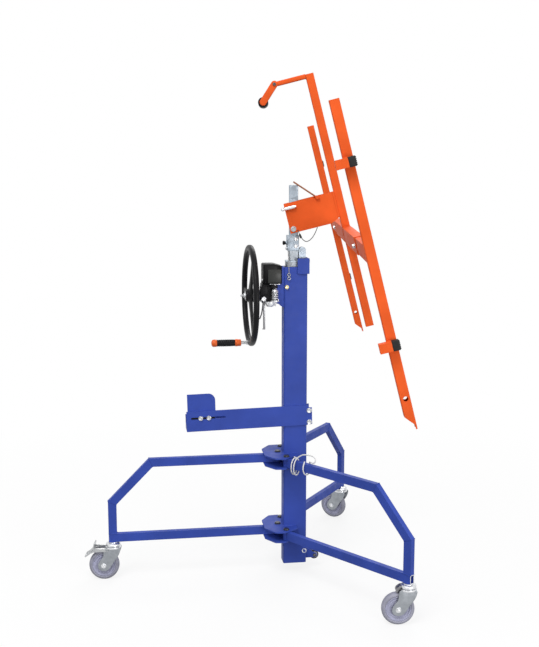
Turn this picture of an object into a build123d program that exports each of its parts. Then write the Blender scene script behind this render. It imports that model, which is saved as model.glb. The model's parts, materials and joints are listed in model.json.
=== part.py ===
from build123d import *
import math
import os

# Panel hoist. Millimetres, +Z up, +X toward the loaded side, origin on the floor under the mast

# Fits shared by mating pieces
RUN_FIT = 0.05
SLIDE_GAP = 0.3
SIDE_GAP = 0.7
FACE_GAP = 0.1

# Outer mast tube
MAST_W = 90.0
MAST_D = 60.0
MAST_WALL = 4.0
MAST_CORNER = 6.0
MAST_FOOT = 33.0
FOOT_PLATE = 6.0

# Middle stage
MID_W = 68.0
MID_D = 42.0
MID_WALL = 3.0
MID_CORNER = 4.0
MID_FOOT = 60.0
MID_SHOW = 19.0
MID_PLATE = 4.0

# Inner stage
INNER_W = 34.0
INNER_D = 28.0
INNER_WALL = 2.5
INNER_CORNER = 3.0
INNER_X = -5.0
INNER_FOOT = 105.0
INNER_TOP = 1268.0
INNER_SHOW = 53.0

# Swivel collar, plunger and head post
COLLAR_LEFT = -30.0
COLLAR_RIGHT = 14.0
COLLAR_D = 36.0
COLLAR_GRIP = 12.0
COLLAR_HEIGHT = 58.0
SPIGOT_R = 13.0
POST_W = 34.0
POST_WALL = 3.0
POST_RISE = 162.0
PLUNGER_DROP = 29.0
PLUNGER_PIN_R = 3.0
KNOB_R = 8.0
KNOB_LENGTH = 11.0

# Ropes and their wheels
ROPE_R = 2.0
ROPE_SIDE = 7.0
PULLEY_RISE = 37.0
PULLEY_WIDTH = 9.0
PULLEY_PIN_R = 4.0
SHEAVE_DROP = 31.0
SHEAVE_PIN_R = 5.0
WINCH_ROPE_X = -95.0
DRUM_CORE_R = 14.0
DRUM_FLANGE_R = 21.0
DRUM_LENGTH = 34.0
RIM_RISE = 2.5

# Winch
WINCH_DROP = 108.0
SHAFT_R = 9.0
HOUSING_LEFT = -128.0
HOUSING_WALL = 4.0
HOUSING_DROP = 28.0
HOUSING_HEIGHT = 74.0
COVER_HEIGHT = 75.0
COVER_LEFT = -124.0
COVER_RIGHT = -54.0
COVER_WALL = 2.5
BRACKET_REACH = 28.0
BRACKET_DROP = 45.0
BRACKET_PLATE = 5.0

# Winch brake
BRAKE_X = -82.0
BRAKE_Y = -46.0
SPRING_R = 12.5
SPRING_WIRE_R = 2.0
SPRING_TURNS = 6
SPRING_DROP = 16.0
SPRING_LENGTH = 47.0
LEVER_X = -122.0
LEVER_DROP = 10.0
LEVER_LENGTH = 126.0
LEVER_WIDTH = 14.0
LEVER_PIN_R = 4.0

# Handwheel and crank
WHEEL_X = -169.0
WHEEL_R = 191.0
WHEEL_RIM_W = 22.0
WHEEL_RIM_T = 23.0
WHEEL_HUB_R = 26.0
WHEEL_HUB_LEFT = -187.0
WHEEL_HUB_RIGHT = -150.0
SPOKES = 3
SPOKE_W = 26.0
SPOKE_T = 10.0
CRANK_TIP = -318.0
CRANK_ROOT = -205.0
CRANK_CAP = 21.0
CRANK_COLLAR = 23.0
CRANK_R = 14.0
CRANK_PIN_R = 6.0

# Storage arm and its stop
ARM_LEFT = -417.0
ARM_RIGHT = 64.0
ARM_BOTTOM = 586.5
ARM_TOP = 664.0
ARM_PLATE = 5.0
ARM_TILT = 1.4
ARM_STEP = 24.0
ARM_STEP_IN = 43.0
ARM_BOLT_INSET = 11.0
ARM_BOLT_LOW = 11.0
ARM_BOLT_DROP = 21.0
EAR_LOW = 2.5
EAR_DROP = 10.0
SLOT_LEFT = -400.0
SLOT_RIGHT = -269.0
SLOT_Z = 636.5
STOP_LEFT = -412.0
STOP_WIDTH = 106.0
STOP_BOTTOM = 613.0
STOP_TOP = 729.0
STOP_T = 5.0
STOP_BOLT_STEP = 31.0
STOP_BOLT_R = 4.0

# Foot roller and head anchor
ROLLER_X = 82.0
ROLLER_Z = 53.0
ROLLER_R = 17.5
ROLLER_EYE = 9.0
ROLLER_W = 14.0
ROLLER_PIN_R = 4.0
ANCHOR_LEFT = 6.0
ANCHOR_RISE = 32.0
ANCHOR_HEIGHT = 58.0
ANCHOR_T = 6.0
HEAD_BOLT_DROP = 75.0
HEAD_BOLT_R = 10.5
HEAD_BOLT_INSET = 11.0
FOOT_BOLT_Z = 81.0

# Legs and their brackets
REAR_X = -48.0
FRONT_X = -96.0
LEG_ANGLE = 53.6
LEG_H = 32.0
LEG_T = 20.0
LEG_WALL = 2.0
LEG_UP_Z = 455.0
LEG_LOW_Z = 164.5
REAR_POST = 654.0
FRONT_POST = 681.0
KNEE_RUN = 149.0
LEG_KNEE_Z = 303.0
HINGE_R = 92.0
REAR_R = 16.0
HINGE_PIN_R = 6.0
BARREL_R = 13.0
WING_T = 5.0
WING_BACK = -120.0
WING_SIDE = 102.0
WING_FRONT = 6.0
WING_NOSE = 18.0

# Casters
WHEEL_RADIUS = 57.5
TYRE_W = 30.0
TYRE_T = 13.0
TRAIL = 35.0
AXLE_R = 5.0
STEM_R = 6.0
STEM_LENGTH = 36.0
FORK_T = 3.0
CROWN_R = 28.0
CROWN_Z = 130.0
PEDAL_X = 22.0
PEDAL_DROP = 10.0
REAR_TURN = 172.0
NEAR_TURN = 172.0
FAR_TURN = 141.0

# Carrier placement
YAW = -8.54
TILT = 14.17
PIVOT_RISE = 24.0
PIVOT_R = 6.0

# Carrier rails and beam
RAIL_BACK = 178.0
RAIL = 30.0
RAIL_WALL = 2.5
RAIL_CORNER = 3.0
SIDE_RAIL_Y = 908.0
SIDE_RAIL_TOP = 380.0
SIDE_RAIL_BOTTOM = -558.0
HOOK_TIP = -602.0
HOOK_SLOPE = 30.0
RAIL_OVER = 6.0
CENTRE_BOTTOM = -428.0
BEAM_V = -70.0
BEAM_H = 60.0
BEAM_WALL = 2.5
BEAM_HALF = 560.0
REACH_IN = 300.0
PAD_UP = 200.0
PAD_LOW = -340.0
STUB = 28.0
STUB_BACK = 152.0
PAD_BACK = 190.0
PAD_FRONT = 214.0

# Tilt bracket, latch and lever
CHEEK_T = 4.0
CHEEK_TOP = 98.0
CHEEK_BOTTOM = -15.0
CHEEK_LEFT = -14.0
END_PLATE = 6.0
CHEEK_GAP = 1.5
LATCH_V = 80.0
LATCH_R = 4.0
LATCH_BACK = -19.0
LATCH_TUBE = -11.0
LATCH_TUBE_END = 24.0
LATCH_TUBE_R = 6.5
LATCH_FRONT = 30.0
LATCH_BALL_R = 7.0
LATCH_OFFSET = 7.0
ROD_PIVOT_U = 114.0
ROD_PIVOT_V = 91.0
ROD_TIP_U = 41.0
ROD_TIP_V = 170.0
ROD_R = 3.0

# Handle
ELBOW_U = 59.5
ELBOW_V = 530.0
GRIP_U = 4.0
GRIP_DROP = 52.0
GRIP_R = 19.0
GRIP_LENGTH = 84.0
LINK_W = 26.0
LINK_T = 8.0
HANDLE_ARM = 18.0

# Cords
CORD_R = 2.5
WIRE_R = 1.5

# Derived places
MID_TOP = INNER_TOP - INNER_SHOW
MAST_TOP = MID_TOP - MID_SHOW
PULLEY_Z = MID_TOP + PULLEY_RISE
SHEAVE_Z = MAST_TOP - SHEAVE_DROP
WINCH_Z = MAST_TOP - WINCH_DROP
HOUSING_BOTTOM = WINCH_Z - HOUSING_DROP
COVER_BOTTOM = HOUSING_BOTTOM + HOUSING_HEIGHT
COVER_TOP = COVER_BOTTOM + COVER_HEIGHT
BRACKET_BOTTOM = WINCH_Z - BRACKET_DROP
SPRING_BOTTOM = WINCH_Z - SPRING_DROP
SPRING_TOP = SPRING_BOTTOM + SPRING_LENGTH
LEVER_Z = WINCH_Z - LEVER_DROP
ANCHOR_TOP = MAST_TOP + ANCHOR_RISE
ANCHOR_BOTTOM = ANCHOR_TOP - ANCHOR_HEIGHT
HEAD_BOLT_Z = MAST_TOP - HEAD_BOLT_DROP
MAST_LEFT = -MAST_W / 2
MAST_RIGHT = MAST_W / 2
MAST_NEAR = -MAST_D / 2
MAST_FAR = MAST_D / 2
CAVITY_X = MAST_W / 2 - MAST_WALL
CAVITY_Y = MAST_D / 2 - MAST_WALL
ROPE_GAP_X = (CAVITY_X + MID_W / 2) / 2
INNER_RIGHT = INNER_X + INNER_W / 2
LIFT_ROPE_IN = INNER_RIGHT + ROPE_SIDE
PULLEY_X = (ROPE_GAP_X + LIFT_ROPE_IN) / 2
PULLEY_R = (ROPE_GAP_X - LIFT_ROPE_IN) / 2
SHEAVE_X = (WINCH_ROPE_X - ROPE_GAP_X) / 2
SHEAVE_R = (-ROPE_GAP_X - WINCH_ROPE_X) / 2
DRUM_ROPE_R = DRUM_CORE_R + ROPE_R
HOUSING_RIGHT = MAST_LEFT - BRACKET_REACH
CRANK_Z = WINCH_Z - (WHEEL_R - WHEEL_RIM_T / 2)
CHEEK_Y = POST_W / 2 + CHEEK_GAP
RAIL_FRONT = RAIL_BACK + RAIL
CENTRE_TOP = ELBOW_V + RAIL_OVER
GRIP_V = ELBOW_V - GRIP_DROP
COLLAR_Y = COLLAR_D / 2
COLLAR_BOTTOM = INNER_TOP - COLLAR_GRIP
COLLAR_TOP = COLLAR_BOTTOM + COLLAR_HEIGHT
PLUNGER_Z = COLLAR_TOP - PLUNGER_DROP
PIVOT_Z = COLLAR_TOP + PIVOT_RISE
POST_TOP = PIVOT_Z + POST_RISE
STOP_BOLT_X = STOP_LEFT + STOP_WIDTH / 2 - STOP_BOLT_STEP / 2 + 11.0


# Shape helpers
def block(x0, x1, y0, y1, z0, z1):
    """Box between two corners."""
    return Pos((x0 + x1) / 2, (y0 + y1) / 2, (z0 + z1) / 2) * Box(x1 - x0, y1 - y0, z1 - z0)


def along(axis, start, end, a, b):
    """Place at the middle of a run along one axis, local Z on that axis."""
    middle = (start + end) / 2
    if axis == "X":
        return Pos(middle, a, b) * Rot(0, 90, 0)
    if axis == "Y":
        return Pos(a, middle, b) * Rot(90, 0, 0)
    return Pos(a, b, middle)


def rod(axis, radius, start, end, a, b):
    """Round bar along an axis; a and b are the other two coordinates."""
    return along(axis, start, end, a, b) * Cylinder(radius, abs(end - start))


def ring(axis, outer, inner, start, end, a, b):
    """Round tube along an axis."""
    return rod(axis, outer, start, end, a, b) - rod(axis, inner, start, end, a, b)


def hexagon(axis, radius, start, end, a, b):
    """Hexagon bar along an axis."""
    bar = extrude(RegularPolygon(radius, 6), abs(end - start) / 2, both=True)
    return along(axis, start, end, a, b) * bar


def upright_tube(width, depth, wall, corner, z0, z1, x=0.0, y=0.0):
    """Rectangular tube standing on z0."""
    outer = RectangleRounded(width, depth, corner)
    inner = Rectangle(width - 2 * wall, depth - 2 * wall)
    return Pos(x, y, z0) * extrude(outer - inner, z1 - z0)


def side_plate(points, y0, y1):
    """Plate in the X-Z plane between two Y values."""
    face = Plane.XZ * Polygon(*points, align=None)
    return Pos(0, (y0 + y1) / 2, 0) * extrude(face, (y1 - y0) / 2, both=True)


def capsule(x0, z0, x1, z1, radius, y0, y1):
    """Flat link with round ends between two points in the X-Z plane."""
    length = math.hypot(x1 - x0, z1 - z0)
    turn = math.degrees(math.atan2(z1 - z0, x1 - x0))
    bar = Box(length, y1 - y0, 2 * radius)
    bar = Pos((x0 + x1) / 2, (y0 + y1) / 2, (z0 + z1) / 2) * Rot(0, -turn, 0) * bar
    return bar + rod("Y", radius, y0, y1, x0, z0) + rod("Y", radius, y0, y1, x1, z1)


def bend_radii(points):
    """Radius at each corner that leaves straight runs between the arcs."""
    radii = []
    for i in range(1, len(points) - 1):
        a = Vector(points[i]) - Vector(points[i - 1])
        b = Vector(points[i + 1]) - Vector(points[i])
        half = math.radians(a.get_angle(b)) / 2
        radii.append(0.45 * min(a.length, b.length) / math.tan(half))
    return radii


def cord(points, radius):
    """Round cord along straight runs and tangent arcs."""
    radii = bend_radii(points)
    print("cord bends from", round(min(radii), 2), "mm, cord radius", radius)
    path = FilletPolyline(*points, radius=radii)
    start = Plane(origin=path @ 0, z_dir=path % 0)
    return sweep(start * Circle(radius), path=path)


def grooved(axis_y0, axis_y1, rope_r, x, z, bore):
    """Grooved wheel turning on a Y axis."""
    middle = (axis_y0 + axis_y1) / 2
    wheel = ring("Y", rope_r + RIM_RISE, bore, axis_y0, axis_y1, x, z)
    groove = Pos(x, middle, z) * Rot(90, 0, 0) * Torus(rope_r, ROPE_R + 0.4)
    return wheel - groove - ring("Y", rope_r + RIM_RISE + 1, rope_r, middle - ROPE_R, middle + ROPE_R, x, z)


NODES = {}


def node(name, *solids):
    """Keep a named piece, or a group of like pieces."""
    NODES[name] = list(solids)


# Outer mast
def outer_mast():
    """Mast tube with a foot plate and a slot for the head sheave."""
    tube = upright_tube(MAST_W, MAST_D, MAST_WALL, MAST_CORNER, MAST_FOOT, MAST_TOP)
    foot = block(-CAVITY_X, CAVITY_X, -CAVITY_Y, CAVITY_Y, MAST_FOOT, MAST_FOOT + FOOT_PLATE)
    slot_y0 = DRUM_ROPE_R - PULLEY_WIDTH / 2 - 1.5
    slot_y1 = DRUM_ROPE_R + PULLEY_WIDTH / 2 + 1.5
    slot_z = SHEAVE_Z - SHEAVE_R - RIM_RISE - 2
    slot = block(MAST_LEFT - 1, -CAVITY_X + 0.5, slot_y0, slot_y1, slot_z, MAST_TOP + 1)
    return tube + foot - slot


def guide_shoes():
    """Blocks in the mast head that guide the middle stage."""
    z0 = MAST_TOP - 46
    z1 = MAST_TOP
    run_x = MID_W / 2 + SLIDE_GAP
    run_y = MID_D / 2 + SLIDE_GAP
    inset = MID_D / 2 - 1
    near = block(-20, 20, -CAVITY_Y, -run_y, z0, z1)
    far = block(-20, 20, run_y, CAVITY_Y, z0, z1)
    left = block(-CAVITY_X, -run_x, -inset, DRUM_ROPE_R - 10, z0, z1)
    right_a = block(run_x, CAVITY_X, -inset, -6, z0, z1)
    right_b = block(run_x, CAVITY_X, 6, inset, z0, z1)
    return [near, far, left, right_a, right_b]


def head_anchor():
    """Blue clamp on the mast head that holds the end of the lift rope."""
    t = ANCHOR_T
    near = block(ANCHOR_LEFT, MAST_RIGHT + t, MAST_NEAR - t, MAST_NEAR, ANCHOR_BOTTOM, ANCHOR_TOP)
    far = block(ANCHOR_LEFT, MAST_RIGHT + t, MAST_FAR, MAST_FAR + t, ANCHOR_BOTTOM, ANCHOR_TOP)
    side = block(MAST_RIGHT, MAST_RIGHT + t, MAST_NEAR - t, MAST_FAR + t, ANCHOR_BOTTOM, ANCHOR_TOP)
    tab = block(ROPE_GAP_X - ROPE_R, MAST_RIGHT + t, -10, 10, MAST_TOP + 3, MAST_TOP + 10)
    notch = block(0, ROPE_GAP_X + ROPE_R, -ROPE_R - 0.2, ROPE_R + 0.2, MAST_TOP, MAST_TOP + 20)
    return near + far + side + (tab - notch)


# Middle stage
def mid_mast():
    """Middle tube with a lug for the winch rope at its foot."""
    tube = upright_tube(MID_W, MID_D, MID_WALL, MID_CORNER, MID_FOOT, MID_TOP)
    x0 = -ROPE_GAP_X - ROPE_R
    lug = block(x0, -MID_W / 2, DRUM_ROPE_R - 4, DRUM_ROPE_R + 3, MID_FOOT, MID_FOOT + 8)
    return tube + lug


def mid_head():
    """Plate on the middle tube with two rounded cheeks for the pulley."""
    z0 = MID_TOP
    z1 = MID_TOP + MID_PLATE
    right = ROPE_GAP_X + ROPE_R + 4
    plate = block(-MID_W / 2, right, -MID_D / 2, MID_D / 2, z0, z1)
    run_w = INNER_W / 2 + SLIDE_GAP
    run_d = INNER_D / 2 + SLIDE_GAP
    window = block(INNER_X - run_w, INNER_X + run_w, -run_d, run_d, z0 - 1, z1 + 1)
    rope_left = LIFT_ROPE_IN - ROPE_R - 0.6
    rope_slot = block(rope_left, ROPE_GAP_X + ROPE_R + 1, -ROPE_R - 2, ROPE_R + 2, z0 - 1, z1 + 1)
    body = plate - window - rope_slot
    inside = PULLEY_WIDTH / 2 + SIDE_GAP
    half = PULLEY_R + RIM_RISE + 1.7
    top = PULLEY_Z + PULLEY_R + RIM_RISE + 6
    for side in (-1, 1):
        y0 = min(side * inside, side * (inside + 3))
        y1 = max(side * inside, side * (inside + 3))
        cheek = block(PULLEY_X - half, PULLEY_X + half, y0, y1, z1, top - half)
        cheek = cheek + rod("Y", half, y0, y1, PULLEY_X, top - half)
        body = body + cheek
    guard_z = PULLEY_Z + PULLEY_R + ROPE_R + 1.5
    guard = block(PULLEY_X - 6, PULLEY_X + 6, -inside, inside, guard_z, guard_z + 3)
    bore = rod("Y", PULLEY_PIN_R, -50, 50, PULLEY_X, PULLEY_Z)
    return body + guard - bore


def pulley_pin():
    """Headed pin of the middle pulley."""
    reach = PULLEY_WIDTH / 2 + SIDE_GAP + 3
    pin = rod("Y", PULLEY_PIN_R, -reach, reach, PULLEY_X, PULLEY_Z)
    head = rod("Y", PULLEY_PIN_R + 2.5, -reach - 2.5, -reach, PULLEY_X, PULLEY_Z)
    tail = rod("Y", PULLEY_PIN_R + 2.5, reach, reach + 2.5, PULLEY_X, PULLEY_Z)
    return pin + head + tail


def mid_pulley():
    """Pulley that turns the lift rope over the middle tube."""
    half = PULLEY_WIDTH / 2
    return grooved(-half, half, PULLEY_R, PULLEY_X, PULLEY_Z, PULLEY_PIN_R + RUN_FIT)


def rope_over(x_left, x_right, y, z_left, z_right, z_axis):
    """Rope up one side, half way round a wheel and down the other side."""
    radius = (x_right - x_left) / 2
    middle = (x_left + x_right) / 2
    up = Line((x_left, y, z_left), (x_left, y, z_axis))
    over = ThreePointArc((x_left, y, z_axis), (middle, y, z_axis + radius), (x_right, y, z_axis))
    down = Line((x_right, y, z_axis), (x_right, y, z_right))
    path = Wire([up.edge(), over.edge(), down.edge()])
    start = Plane(origin=(x_left, y, z_left), z_dir=(0, 0, 1))
    return sweep(start * Circle(ROPE_R), path=path)


def lift_rope():
    """Rope from the head anchor over the middle pulley to the inner tube's foot."""
    return rope_over(LIFT_ROPE_IN, ROPE_GAP_X, 0, INNER_FOOT + 8, MAST_TOP + 1, PULLEY_Z)


def winch_rope():
    """Rope from the drum over the head sheave to the middle tube's foot."""
    return rope_over(WINCH_ROPE_X, -ROPE_GAP_X, DRUM_ROPE_R, WINCH_Z, MID_FOOT + 8, SHEAVE_Z)


# Inner stage and swivel
def inner_mast():
    """Inner tube with a lug for the lift rope at its foot."""
    tube = upright_tube(INNER_W, INNER_D, INNER_WALL, INNER_CORNER, INNER_FOOT, INNER_TOP, INNER_X)
    lug = block(INNER_RIGHT, LIFT_ROPE_IN + ROPE_R + 1, -6, 6, INNER_FOOT, INNER_FOOT + 8)
    return tube + lug


def swivel_collar():
    """Collar clamped on the inner tube; it carries the turning post."""
    body = block(COLLAR_LEFT, COLLAR_RIGHT, -COLLAR_Y, COLLAR_Y, COLLAR_BOTTOM, COLLAR_TOP)
    socket = extrude(RectangleRounded(INNER_W, INNER_D, INNER_CORNER), INNER_TOP - COLLAR_BOTTOM)
    body = body - Pos(INNER_X, 0, COLLAR_BOTTOM) * socket
    body = body - rod("Z", SPIGOT_R + RUN_FIT, INNER_TOP, COLLAR_TOP + 1, INNER_X, 0)
    body = body + rod("X", KNOB_R - 1, COLLAR_LEFT - 5, COLLAR_LEFT, 0, PLUNGER_Z)
    body = body - rod("X", PLUNGER_PIN_R + RUN_FIT, COLLAR_LEFT - 6, INNER_X, 0, PLUNGER_Z)
    return body


def collar_bolts():
    """Two clamp bolts on the collar's near face and one on its left face."""
    y1 = -COLLAR_Y
    bolts = []
    for z in (COLLAR_BOTTOM + 17, COLLAR_TOP - 14):
        bolts.append(hexagon("Y", 7, y1 - 5, y1, COLLAR_RIGHT - 12, z))
    bolts.append(hexagon("X", 5, COLLAR_LEFT - 6, COLLAR_LEFT, -6, COLLAR_BOTTOM + 9))
    return bolts


def swivel_plunger():
    """Pull knob with a pin that bears on the post's spigot."""
    inner_end = INNER_X - SPIGOT_R - 0.4
    outer_end = COLLAR_LEFT - 5 - FACE_GAP
    pin = rod("X", PLUNGER_PIN_R, outer_end - 1, inner_end, 0, PLUNGER_Z)
    knob = rod("X", KNOB_R, outer_end - KNOB_LENGTH, outer_end, 0, PLUNGER_Z)
    knob = fillet(knob.edges().group_by(Axis.X)[0], KNOB_R / 3)
    return pin + knob


def collar_lanyard():
    """Steel wire that hangs from the collar before the mast, with two eyes."""
    x = -27.0
    y_hang = MAST_NEAR - 4
    z_tie = COLLAR_BOTTOM
    z_low = MAST_TOP - 22
    points = [(x, -13, z_tie), (x, -13, z_tie - 14), (x, y_hang, MAST_TOP + 12), (x, y_hang, z_low)]
    wire = cord(points, WIRE_R)
    eye_r = 7.0
    upper_z = z_low - eye_r - WIRE_R
    lower_z = upper_z - 2 * (eye_r + WIRE_R)
    upper = Pos(x, y_hang, upper_z) * Rot(90, 0, 0) * Torus(eye_r, WIRE_R)
    lower = Pos(x, y_hang, lower_z) * Rot(90, 0, 0) * Torus(eye_r, WIRE_R)
    return [wire, upper, lower]


def head_post():
    """Square post on a round spigot; it turns in the collar."""
    bottom = COLLAR_TOP + FACE_GAP
    tube = upright_tube(POST_W, POST_W, POST_WALL, INNER_CORNER, bottom, POST_TOP)
    floor = block(-POST_W / 2 + 1, POST_W / 2 - 1, -POST_W / 2 + 1, POST_W / 2 - 1, bottom, bottom + 6)
    spigot = rod("Z", SPIGOT_R, INNER_TOP + 1, bottom + 1, 0, 0)
    inside = POST_W / 2 - POST_WALL
    bush = rod("Y", PIVOT_R + 4, -inside - 0.5, inside + 0.5, 0, PIVOT_Z)
    post = tube + floor + spigot + bush
    post = post - rod("Y", PIVOT_R + RUN_FIT, -POST_W, POST_W, 0, PIVOT_Z)
    return Pos(INNER_X, 0, 0) * Rot(0, 0, YAW) * post


node("outer_mast", outer_mast())
node("guide_shoes", *guide_shoes())
node("head_anchor", head_anchor())
node("mid_mast", mid_mast())
node("mid_head", mid_head(), pulley_pin())
node("mid_pulley", mid_pulley())
node("lift_rope", lift_rope())
node("winch_rope", winch_rope())
node("inner_mast", inner_mast())
node("swivel_collar", swivel_collar(), *collar_bolts())
node("swivel_plunger", swivel_plunger())
node("collar_lanyard", *collar_lanyard())
node("head_post", head_post())


# Winch
def winch_bracket():
    """Blue bracket that stands the winch off the mast."""
    left = HOUSING_RIGHT
    foot = 16.0
    side = [(left, BRACKET_BOTTOM + foot), (left, MAST_TOP), (MAST_LEFT, MAST_TOP), (MAST_LEFT, BRACKET_BOTTOM)]
    body = None
    for y0, y1 in ((MAST_NEAR, MAST_NEAR + BRACKET_PLATE), (MAST_FAR - BRACKET_PLATE, MAST_FAR)):
        plate = side_plate(side, y0, y1)
        plate = plate - rod("Y", foot, y0 - 1, y1 + 1, left, BRACKET_BOTTOM)
        body = plate if body is None else body + plate
    back_top = SHEAVE_Z - SHEAVE_R - RIM_RISE - 4
    back = block(left, left + BRACKET_PLATE, MAST_NEAR, MAST_FAR, HOUSING_BOTTOM, back_top)
    body = body + back - rod("X", SHAFT_R + 2, left - 1, left + 9, 0, WINCH_Z)
    return body - rod("Y", SHEAVE_PIN_R, -99, 99, SHEAVE_X, SHEAVE_Z)


def winch_housing():
    """Black box round the drum with bores for the shaft and a lug for the brake."""
    wall = HOUSING_WALL
    outer = block(HOUSING_LEFT, HOUSING_RIGHT, MAST_NEAR, MAST_FAR, HOUSING_BOTTOM, COVER_BOTTOM)
    cavity = block(
        HOUSING_LEFT + wall, HOUSING_RIGHT - wall, MAST_NEAR + wall, MAST_FAR - wall,
        HOUSING_BOTTOM + wall, COVER_BOTTOM + 1,
    )
    lug = block(BRAKE_X - 15, BRAKE_X + 9, BRAKE_Y - 15, MAST_NEAR, SPRING_TOP + 2, SPRING_TOP + 12)
    box = outer - cavity + lug
    box = box - rod("X", SHAFT_R + RUN_FIT, HOUSING_LEFT - 1, HOUSING_RIGHT + 1, 0, WINCH_Z)
    return box - rod("Z", LEVER_PIN_R, SPRING_TOP, SPRING_TOP + 14, BRAKE_X, BRAKE_Y)


def winch_cover():
    """Black hood over the head sheave, open below and toward the mast."""
    out_y = MAST_D / 2 + 1 + COVER_WALL
    slope = 26.0
    drop = 8.0
    outline = [
        (COVER_LEFT, COVER_BOTTOM), (COVER_LEFT, COVER_TOP),
        (COVER_RIGHT - slope, COVER_TOP), (COVER_RIGHT, COVER_TOP - drop), (COVER_RIGHT, COVER_BOTTOM),
    ]
    t = COVER_WALL
    hollow = [
        (COVER_LEFT + t, COVER_BOTTOM - 1), (COVER_LEFT + t, COVER_TOP - t),
        (COVER_RIGHT - slope - 0.6, COVER_TOP - t), (COVER_RIGHT + 1, COVER_TOP - drop - t - 0.6),
        (COVER_RIGHT + 1, COVER_BOTTOM - 1),
    ]
    shell = side_plate(outline, -out_y, out_y) - side_plate(hollow, -out_y + t, out_y - t)
    ledge = block(COVER_LEFT, COVER_LEFT + 8, -MAST_D / 2, MAST_D / 2, COVER_BOTTOM, COVER_BOTTOM + t)
    inside_y = MAST_D / 2
    for side in (-1, 1):
        y0 = min(side * inside_y, side * (inside_y + 2))
        y1 = max(side * inside_y, side * (inside_y + 2))
        ledge = ledge + block(COVER_RIGHT - 14, COVER_RIGHT - 2, y0, y1, COVER_BOTTOM + 3, COVER_BOTTOM + 15)
    return shell + ledge


def head_sheave():
    """Sheave over the mast's wall that leads the winch rope inside."""
    y0 = DRUM_ROPE_R - PULLEY_WIDTH / 2
    return grooved(y0, y0 + PULLEY_WIDTH, SHEAVE_R, SHEAVE_X, SHEAVE_Z, SHEAVE_PIN_R + RUN_FIT)


def rope_drum():
    """Flanged drum keyed on the shaft."""
    x0 = WINCH_ROPE_X - DRUM_LENGTH / 2
    x1 = WINCH_ROPE_X + DRUM_LENGTH / 2
    drum = rod("X", DRUM_CORE_R, x0, x1, 0, WINCH_Z)
    drum = drum + rod("X", DRUM_FLANGE_R, x0, x0 + 4, 0, WINCH_Z)
    drum = drum + rod("X", DRUM_FLANGE_R, x1 - 4, x1, 0, WINCH_Z)
    return drum - rod("X", SHAFT_R, x0 - 1, x1 + 1, 0, WINCH_Z)


def winch_shaft():
    """Shaft from the handwheel through the housing."""
    return rod("X", SHAFT_R, WHEEL_HUB_LEFT, HOUSING_RIGHT + 2, 0, WINCH_Z)


def shaft_nut():
    """Domed nut on the operator's end of the shaft."""
    x1 = WHEEL_HUB_LEFT
    nut = hexagon("X", 14, x1 - 10, x1, 0, WINCH_Z)
    return nut + rod("X", 6, x1 - 19, x1 - 9, 0, WINCH_Z)


def handwheel():
    """Three-spoke handwheel."""
    x0 = WHEEL_X - WHEEL_RIM_W / 2
    x1 = WHEEL_X + WHEEL_RIM_W / 2
    inner_r = WHEEL_R - WHEEL_RIM_T
    rim = ring("X", WHEEL_R, inner_r, x0, x1, 0, WINCH_Z)
    rim = fillet(rim.edges().filter_by(GeomType.CIRCLE), 7)
    wheel = rim + rod("X", WHEEL_HUB_R, WHEEL_HUB_LEFT, WHEEL_HUB_RIGHT, 0, WINCH_Z)
    for i in range(SPOKES):
        spoke = block(-SPOKE_T / 2, SPOKE_T / 2, SHAFT_R + 4, inner_r + 6, -SPOKE_W / 2, SPOKE_W / 2)
        wheel = wheel + Pos(WHEEL_X, 0, WINCH_Z) * Rot(360 / SPOKES * i, 0, 0) * spoke
    wheel = wheel - rod("X", SHAFT_R, WHEEL_HUB_LEFT - 1, WHEEL_HUB_RIGHT + 1, 0, WINCH_Z)
    return wheel - rod("X", CRANK_PIN_R, x0 - 1, x1 + 1, 0, CRANK_Z)


def crank_pin():
    """Spindle of the crank grip, riveted in the rim."""
    return rod("X", CRANK_PIN_R, CRANK_TIP + 6, WHEEL_X + WHEEL_RIM_W / 2, 0, CRANK_Z)


def crank_grip():
    """Black sleeve of the crank grip."""
    x0 = CRANK_TIP + CRANK_CAP
    x1 = CRANK_ROOT - CRANK_COLLAR
    return ring("X", CRANK_R - 0.8, CRANK_PIN_R + RUN_FIT, x0, x1, 0, CRANK_Z)


def crank_ends():
    """Orange cap and collar of the crank grip."""
    cap = rod("X", CRANK_R, CRANK_TIP, CRANK_TIP + CRANK_CAP, 0, CRANK_Z)
    cap = fillet(cap.edges().group_by(Axis.X)[0], 4)
    cap = cap - rod("X", CRANK_PIN_R + RUN_FIT, CRANK_TIP + 6 - FACE_GAP, CRANK_TIP + 40, 0, CRANK_Z)
    x0 = CRANK_ROOT - CRANK_COLLAR
    collar = ring("X", CRANK_R, CRANK_PIN_R + RUN_FIT, x0, CRANK_ROOT, 0, CRANK_Z)
    return [cap, collar]


# Brake
def brake_arm():
    """Grey arm under the brake spring, pressed against the housing."""
    arm = block(LEVER_X + 14, BRAKE_X + 16, BRAKE_Y - 12, MAST_NEAR, SPRING_BOTTOM - 22, SPRING_BOTTOM - 3)
    arm = fillet(arm.edges().filter_by(Axis.Z), 4)
    return arm - rod("Z", LEVER_PIN_R, SPRING_BOTTOM - 40, SPRING_TOP, BRAKE_X, BRAKE_Y)


def brake_rod():
    """Threaded rod with nuts and spring washers."""
    x = BRAKE_X
    y = BRAKE_Y
    bar = rod("Z", LEVER_PIN_R, SPRING_BOTTOM - 30, SPRING_TOP + 20, x, y)
    low = rod("Z", SPRING_R + 2.5, SPRING_BOTTOM - 3, SPRING_BOTTOM, x, y)
    high = rod("Z", SPRING_R + 2.5, SPRING_TOP, SPRING_TOP + 2, x, y)
    nut_low = hexagon("Z", 8, SPRING_BOTTOM - 29, SPRING_BOTTOM - 22, x, y)
    nut_high = hexagon("Z", 8, SPRING_TOP + 12, SPRING_TOP + 19, x, y)
    return bar + low + high + nut_low + nut_high


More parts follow.
